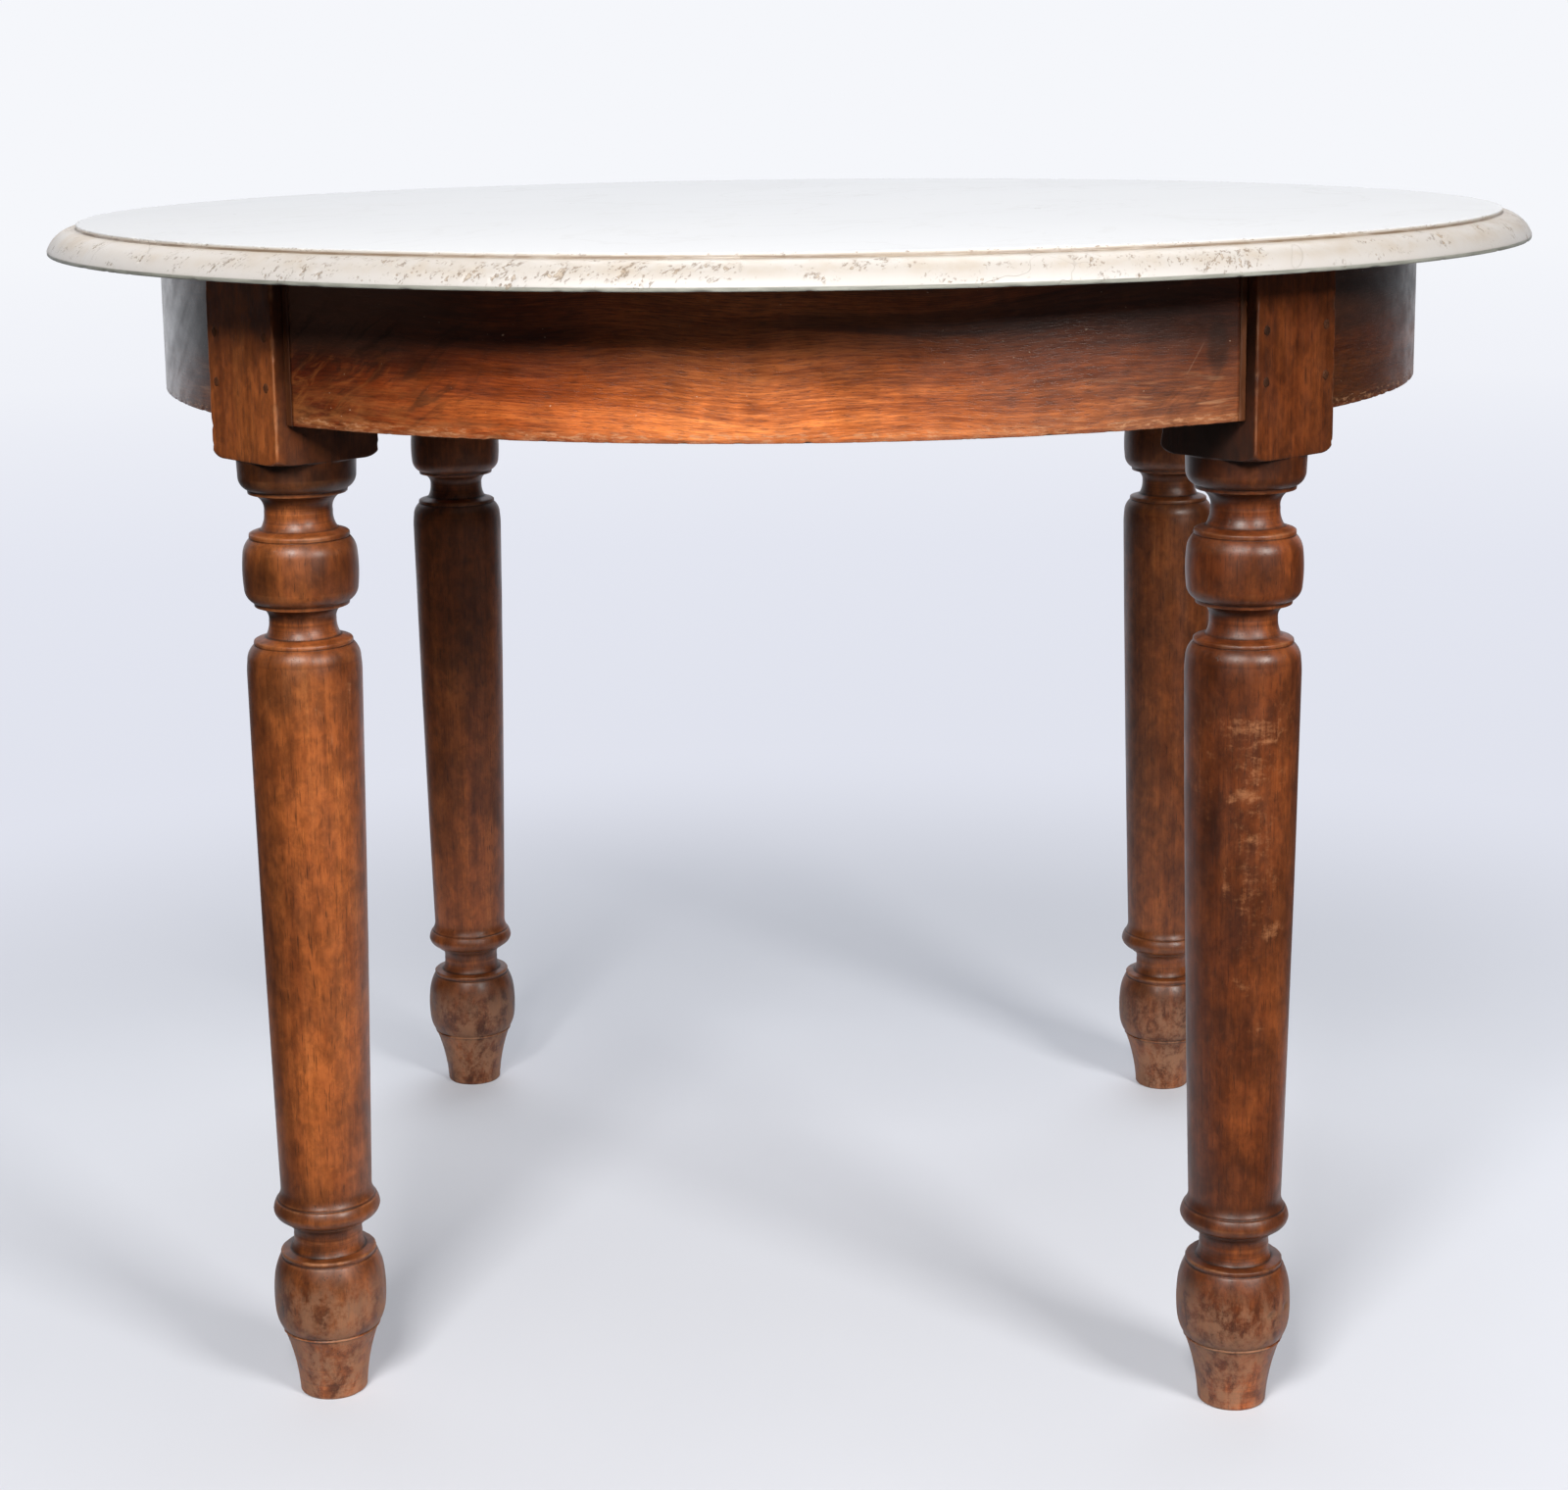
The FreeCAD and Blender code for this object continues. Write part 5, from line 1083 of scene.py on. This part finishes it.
# ---------------------------------------------------------------------------
# Pieces kept from the frame: unpolished inner wood, screws, cork
# ---------------------------------------------------------------------------
def raw_wood(name, kind, tint=(1.0, 1.0, 1.0), offset=0.0):
    """kind: 'arc' has its grain round the table, 'x', 'y' and 'z' along those axes."""
    k = Looks(name)
    o = k.obj()
    x, y, z = k.xyz(o)[:3]
    if kind == "arc":
        ang = k.math("ARCTAN2", y, x)
        rad = k.math("SQRT", k.add(k.mul(x, x), k.mul(y, y)))
        p = k.join(k.mul(ang, 0.428), rad, z)
    elif kind == "y":
        p = k.join(y, x, z)
    elif kind == "z":
        p = k.join(z, x, y)
    else:
        p = o
    lo = (offset, offset * 0.4, offset * 0.9)
    figure = k.noise(k.map(p, (3, 34, 34), lo), 1, 4, 0.6, 0.5)
    streak = k.noise(k.map(p, (9, 320, 320), lo), 1, 4, 0.65)
    pores = k.rng(k.noise(k.map(p, (60, 1300, 1300), lo), 1, 2, 0.6), 0.58, 0.70)
    age = k.noise(k.map(o, (7, 7, 12), lo), 1, 4, 0.62, 0.4)
    tone = k.add(k.mul(figure, 0.55), k.mul(streak, 0.45))
    c = lambda r, g, b: (r * tint[0], g * tint[1], b * tint[2])
    colour = k.ramp(tone, [(0.28, c(0.125, 0.060, 0.028)), (0.47, c(0.215, 0.115, 0.058)), (0.60, c(0.295, 0.170, 0.090)), (0.76, c(0.360, 0.225, 0.130))])
    colour = k.shade(colour, k.rng(age, 0.28, 0.70, 0.55, 1.10))
    colour = k.mix(k.mul(pores, 0.45), colour, (0.045, 0.022, 0.012))
    saw = k.wave(k.map(p, (1.0, 0.20, 0.06), lo), 190, 2.5, 2, 1.5)
    n = k.bump(k.add(k.mul(streak, 0.7), k.add(k.mul(saw, 0.5), k.mul(pores, -0.6))), 0.00022, 0.5)
    rough = k.rng(age, 0.3, 0.7, 0.66, 0.86)
    return k.finish(colour, rough, n, Specular_IOR_Level=0.35)


def steel():
    k = Looks("old_screw_steel")
    o = k.obj()
    rust = k.noise(k.map(o, (260, 260, 260)), 1, 4, 0.65)
    fine = k.noise(k.map(o, (900, 900, 900)), 1, 2, 0.5)
    spot = k.rng(rust, 0.42, 0.60)
    colour = k.mix(spot, k.ramp(fine, [(0.3, (0.22, 0.21, 0.20)), (0.7, (0.36, 0.35, 0.33))]), (0.15, 0.062, 0.028))
    n = k.bump(k.add(rust, k.mul(fine, 0.4)), 0.0002, 0.5)
    return k.finish(colour, k.rng(spot, 0.0, 1.0, 0.38, 0.78), n, Metallic=k.rng(spot, 0.2, 0.9, 0.95, 0.15))


def cork():
    k = Looks("cork_pads")
    o = k.obj()
    grain = k.cells(k.map(o, (420, 420, 420)), 1.0, "F1", "Color")
    tone = k.xyz(grain)[0]
    fine = k.noise(k.map(o, (700, 700, 700)), 1, 3, 0.6)
    colour = k.ramp(k.add(k.mul(tone, 0.6), k.mul(fine, 0.4)), [(0.25, (0.21, 0.12, 0.06)), (0.5, (0.36, 0.23, 0.12)), (0.8, (0.46, 0.31, 0.18))])
    n = k.bump(k.add(tone, fine), 0.0004, 0.4)
    return k.finish(colour, k.rng(fine, 0.3, 0.7, 0.78, 0.92), n, Specular_IOR_Level=0.25)


def dress(node, mat):
    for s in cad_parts[node].material_slots:
        s.material = mat


for i, name in enumerate(("front", "right", "back", "left")):
    dress("apron_core_" + name, raw_wood("raw_core_" + name, "arc", (1.0, 0.96, 0.92), 2.7 * i))
for i, spot in enumerate(("front_left", "front_right", "back_right", "back_left")):
    for j, part in enumerate("ab"):
        dress("glue_block_%s_%s" % (spot, part), raw_wood("raw_glue_block_%s_%s" % (spot, part), "z", (1.18, 1.16, 1.10), 5.0 + 1.9 * i + 0.8 * j))
dress("bearer_side_to_side", raw_wood("raw_bearer_x", "x", (1.10, 1.08, 1.02), 17.0))
dress("bearer_front_to_back", raw_wood("raw_bearer_y", "y", (1.10, 1.08, 1.02), 23.0))
dress("bearer_screws", steel())
dress("top_pads", cork())


# ---------------------------------------------------------------------------
# Studio: pale floor that runs out into a pale surround, two soft lights
# ---------------------------------------------------------------------------
SKY = (0.915, 0.928, 0.965)


def floor():
    me = bpy.data.meshes.new("studio_floor")
    n, far = 96, 40.0
    ring = [0.0, 0.4, 0.8, 1.2, 1.6, 2.0, 2.5, 3.2, 4.5, 7.0, 12.0, 20.0, far]
    v = [(0.0, 0.0, 0.0)]
    f = []
    for r in ring[1:]:
        v += [(r * math.cos(2 * math.pi * i / n), r * math.sin(2 * math.pi * i / n), 0.0) for i in range(n)]
    f += [(0, 1 + i, 1 + (i + 1) % n) for i in range(n)]
    for j in range(len(ring) - 2):
        a, b = 1 + j * n, 1 + (j + 1) * n
        f += [(a + i, b + i, b + (i + 1) % n, a + (i + 1) % n) for i in range(n)]
    me.from_pydata(v, [], f)
    ob = bpy.data.objects.new("studio_floor", me)
    bpy.context.scene.collection.objects.link(ob)
    k = Looks("floor_paper")
    o = k.obj()
    x, y, _ = k.xyz(o)[:3]
    reach = k.math("SQRT", k.add(k.mul(x, x), k.mul(y, y)))
    yb = k.sub(y, 0.30)
    sheet = k.math("SQRT", k.add(k.mul(x, x), k.mul(yb, yb)))
    paper = k.noise(k.map(o, (2.2, 2.2, 2.2)), 1, 3, 0.5)
    tone = k.ramp(paper, [(0.3, (0.640, 0.662, 0.720)), (0.7, (0.665, 0.688, 0.745))])
    white = k.new("ShaderNodeBsdfDiffuse", {"Color": tone})
    # the paper ends in a darker room: only the sheet itself throws light back up
    dim = k.new("ShaderNodeBsdfDiffuse", {"Color": k.mix(k.rng(sheet, 0.62, 0.98), tone, (0.080, 0.078, 0.078))})
    haze = k.ramp(k.rng(reach, 1.4, 12.0, soft=False), [(0.0, (0.745, 0.765, 0.850)), (0.16, (0.770, 0.790, 0.875)), (0.45, (0.87, 0.885, 0.940)), (1.0, SKY)])
    glow = k.new("ShaderNodeEmission", {"Color": haze, "Strength": 1.0})
    seen = k.new("ShaderNodeMixShader")
    k.put(seen.inputs[0], k.rng(reach, 0.55, 1.5, 0.16, 1.0))
    k.t.links.new(white.outputs[0], seen.inputs[1])
    k.t.links.new(glow.outputs[0], seen.inputs[2])
    path = k.new("ShaderNodeLightPath").outputs
    # polished wood mirrors the lit paper behind the table
    shone = k.new("ShaderNodeMixShader")
    k.put(shone.inputs[0], k.mul(path["Is Glossy Ray"], k.rng(k.math("DIVIDE", k.sub(y, k.mul(k.most(x, 0.0), 0.30)), k.add(reach, 0.2)), 0.40, 0.85)))
    k.t.links.new(dim.outputs[0], shone.inputs[1])
    k.t.links.new(seen.outputs[0], shone.inputs[2])
    both = k.new("ShaderNodeMixShader")
    k.put(both.inputs[0], path["Is Camera Ray"])
    k.t.links.new(shone.outputs[0], both.inputs[1])
    k.t.links.new(seen.outputs[0], both.inputs[2])
    k.t.links.new(both.outputs[0], k.new("ShaderNodeOutputMaterial").inputs[0])
    me.materials.append(k.mat)
    ob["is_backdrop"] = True


def surround():
    """Pale all round to the eye; as light it is bright behind the table, as a
    lit paper roll is, and dim in front."""
    w = bpy.data.worlds.new("studio_surround")
    bpy.context.scene.world = w
    w.use_nodes = True
    t = w.node_tree
    t.nodes.clear()
    path = t.nodes.new("ShaderNodeLightPath")
    way = t.nodes.new("ShaderNodeSeparateXYZ")
    t.links.new(t.nodes.new("ShaderNodeTexCoord").outputs["Generated"], way.inputs[0])
    fade = t.nodes.new("ShaderNodeMapRange")
    fade.interpolation_type = "SMOOTHSTEP"
    for key, v in (("From Min", 0.25), ("From Max", 0.85), ("To Min", 0.022), ("To Max", 1.0)):
        fade.inputs[key].default_value = v
    # less of it to the right
    aside = t.nodes.new("ShaderNodeMath")
    aside.operation = "MAXIMUM"
    aside.inputs[1].default_value = 0.0
    t.links.new(way.outputs[0], aside.inputs[0])
    shift = t.nodes.new("ShaderNodeMath")
    shift.operation = "MULTIPLY_ADD"
    shift.inputs[1].default_value = -0.30
    t.links.new(aside.outputs[0], shift.inputs[0])
    t.links.new(way.outputs[1], shift.inputs[2])
    t.links.new(shift.outputs[0], fade.inputs["Value"])
    soft = t.nodes.new("ShaderNodeBackground")
    soft.inputs[0].default_value = (0.88, 0.92, 1.0, 1)
    t.links.new(fade.outputs[0], soft.inputs[1])
    seen = t.nodes.new("ShaderNodeBackground")
    seen.inputs[0].default_value = (*SKY, 1)
    seen.inputs[1].default_value = 1.0
    b = t.nodes.new("ShaderNodeMixShader")
    t.links.new(path.outputs["Is Camera Ray"], b.inputs[0])
    t.links.new(soft.outputs[0], b.inputs[1])
    t.links.new(seen.outputs[0], b.inputs[2])
    t.links.new(b.outputs[0], t.nodes.new("ShaderNodeOutputWorld").inputs[0])


def lamp(name, at, to, size, watts, colour=(1.0, 0.97, 0.93)):
    d = bpy.data.lights.new(name, "AREA")
    d.shape = "RECTANGLE"
    d.size, d.size_y = size
    d.energy = watts
    d.color = colour
    ob = bpy.data.objects.new(name, d)
    bpy.context.scene.collection.objects.link(ob)
    ob.location = at
    ob.rotation_euler = (Vector(to) - Vector(at)).to_track_quat("-Z", "Y").to_euler()
    ob.visible_camera = False
    return ob


floor()
surround()
lamp("softbox_left", (-0.45, -2.35, 2.10), (0.0, -0.2, 0.45), (0.85, 0.85), 82.0)
lamp("softbox_right", (2.10, -2.45, 2.04), (0.0, -0.2, 0.45), (0.95, 0.95), 96.0)
lamp("overhead", (0.2, 1.5, 3.0), (0.0, 0.3, 0.2), (2.2, 1.6), 42.0, (0.96, 0.98, 1.0))


def camera():
    yaw, pit, rol = -0.0528665, -0.1737035, -0.0118311
    fwd = Vector((math.sin(yaw) * math.cos(pit), math.cos(yaw) * math.cos(pit), math.sin(pit)))
    right = Vector((math.cos(yaw), -math.sin(yaw), 0.0))
    up = right.cross(fwd)
    r2 = math.cos(rol) * right + math.sin(rol) * up
    u2 = -math.sin(rol) * right + math.cos(rol) * up
    d = bpy.data.cameras.new("photo_view")
    d.sensor_fit = "HORIZONTAL"
    d.sensor_width = 36.0
    d.lens = 36.0 * 2939.8768 / 1600.0
    d.shift_x = (800.0 - 803.53452) / 1600.0
    d.shift_y = (579.03815 - 760.0) / 1600.0
    d.clip_start, d.clip_end = 0.05, 100.0
    ob = bpy.data.objects.new("photo_view", d)
    bpy.context.scene.collection.objects.link(ob)
    m = Matrix((r2, u2, -fwd)).transposed().to_4x4()
    m.translation = Vector((0.10597844, -2.07475793, 0.86441863))
    ob.matrix_world = m
    bpy.context.scene.camera = ob


camera()
view = bpy.context.scene.view_settings
view.view_transform = "Standard"
view.look = "None"
view.exposure = 0.0
view.gamma = 1.0

bpy.context.view_layer.update()
NEW_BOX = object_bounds()
{"cad": [[float(c) for c in q] for q in CAD_BOX], "visual": [[float(c) for c in q] for q in NEW_BOX]}
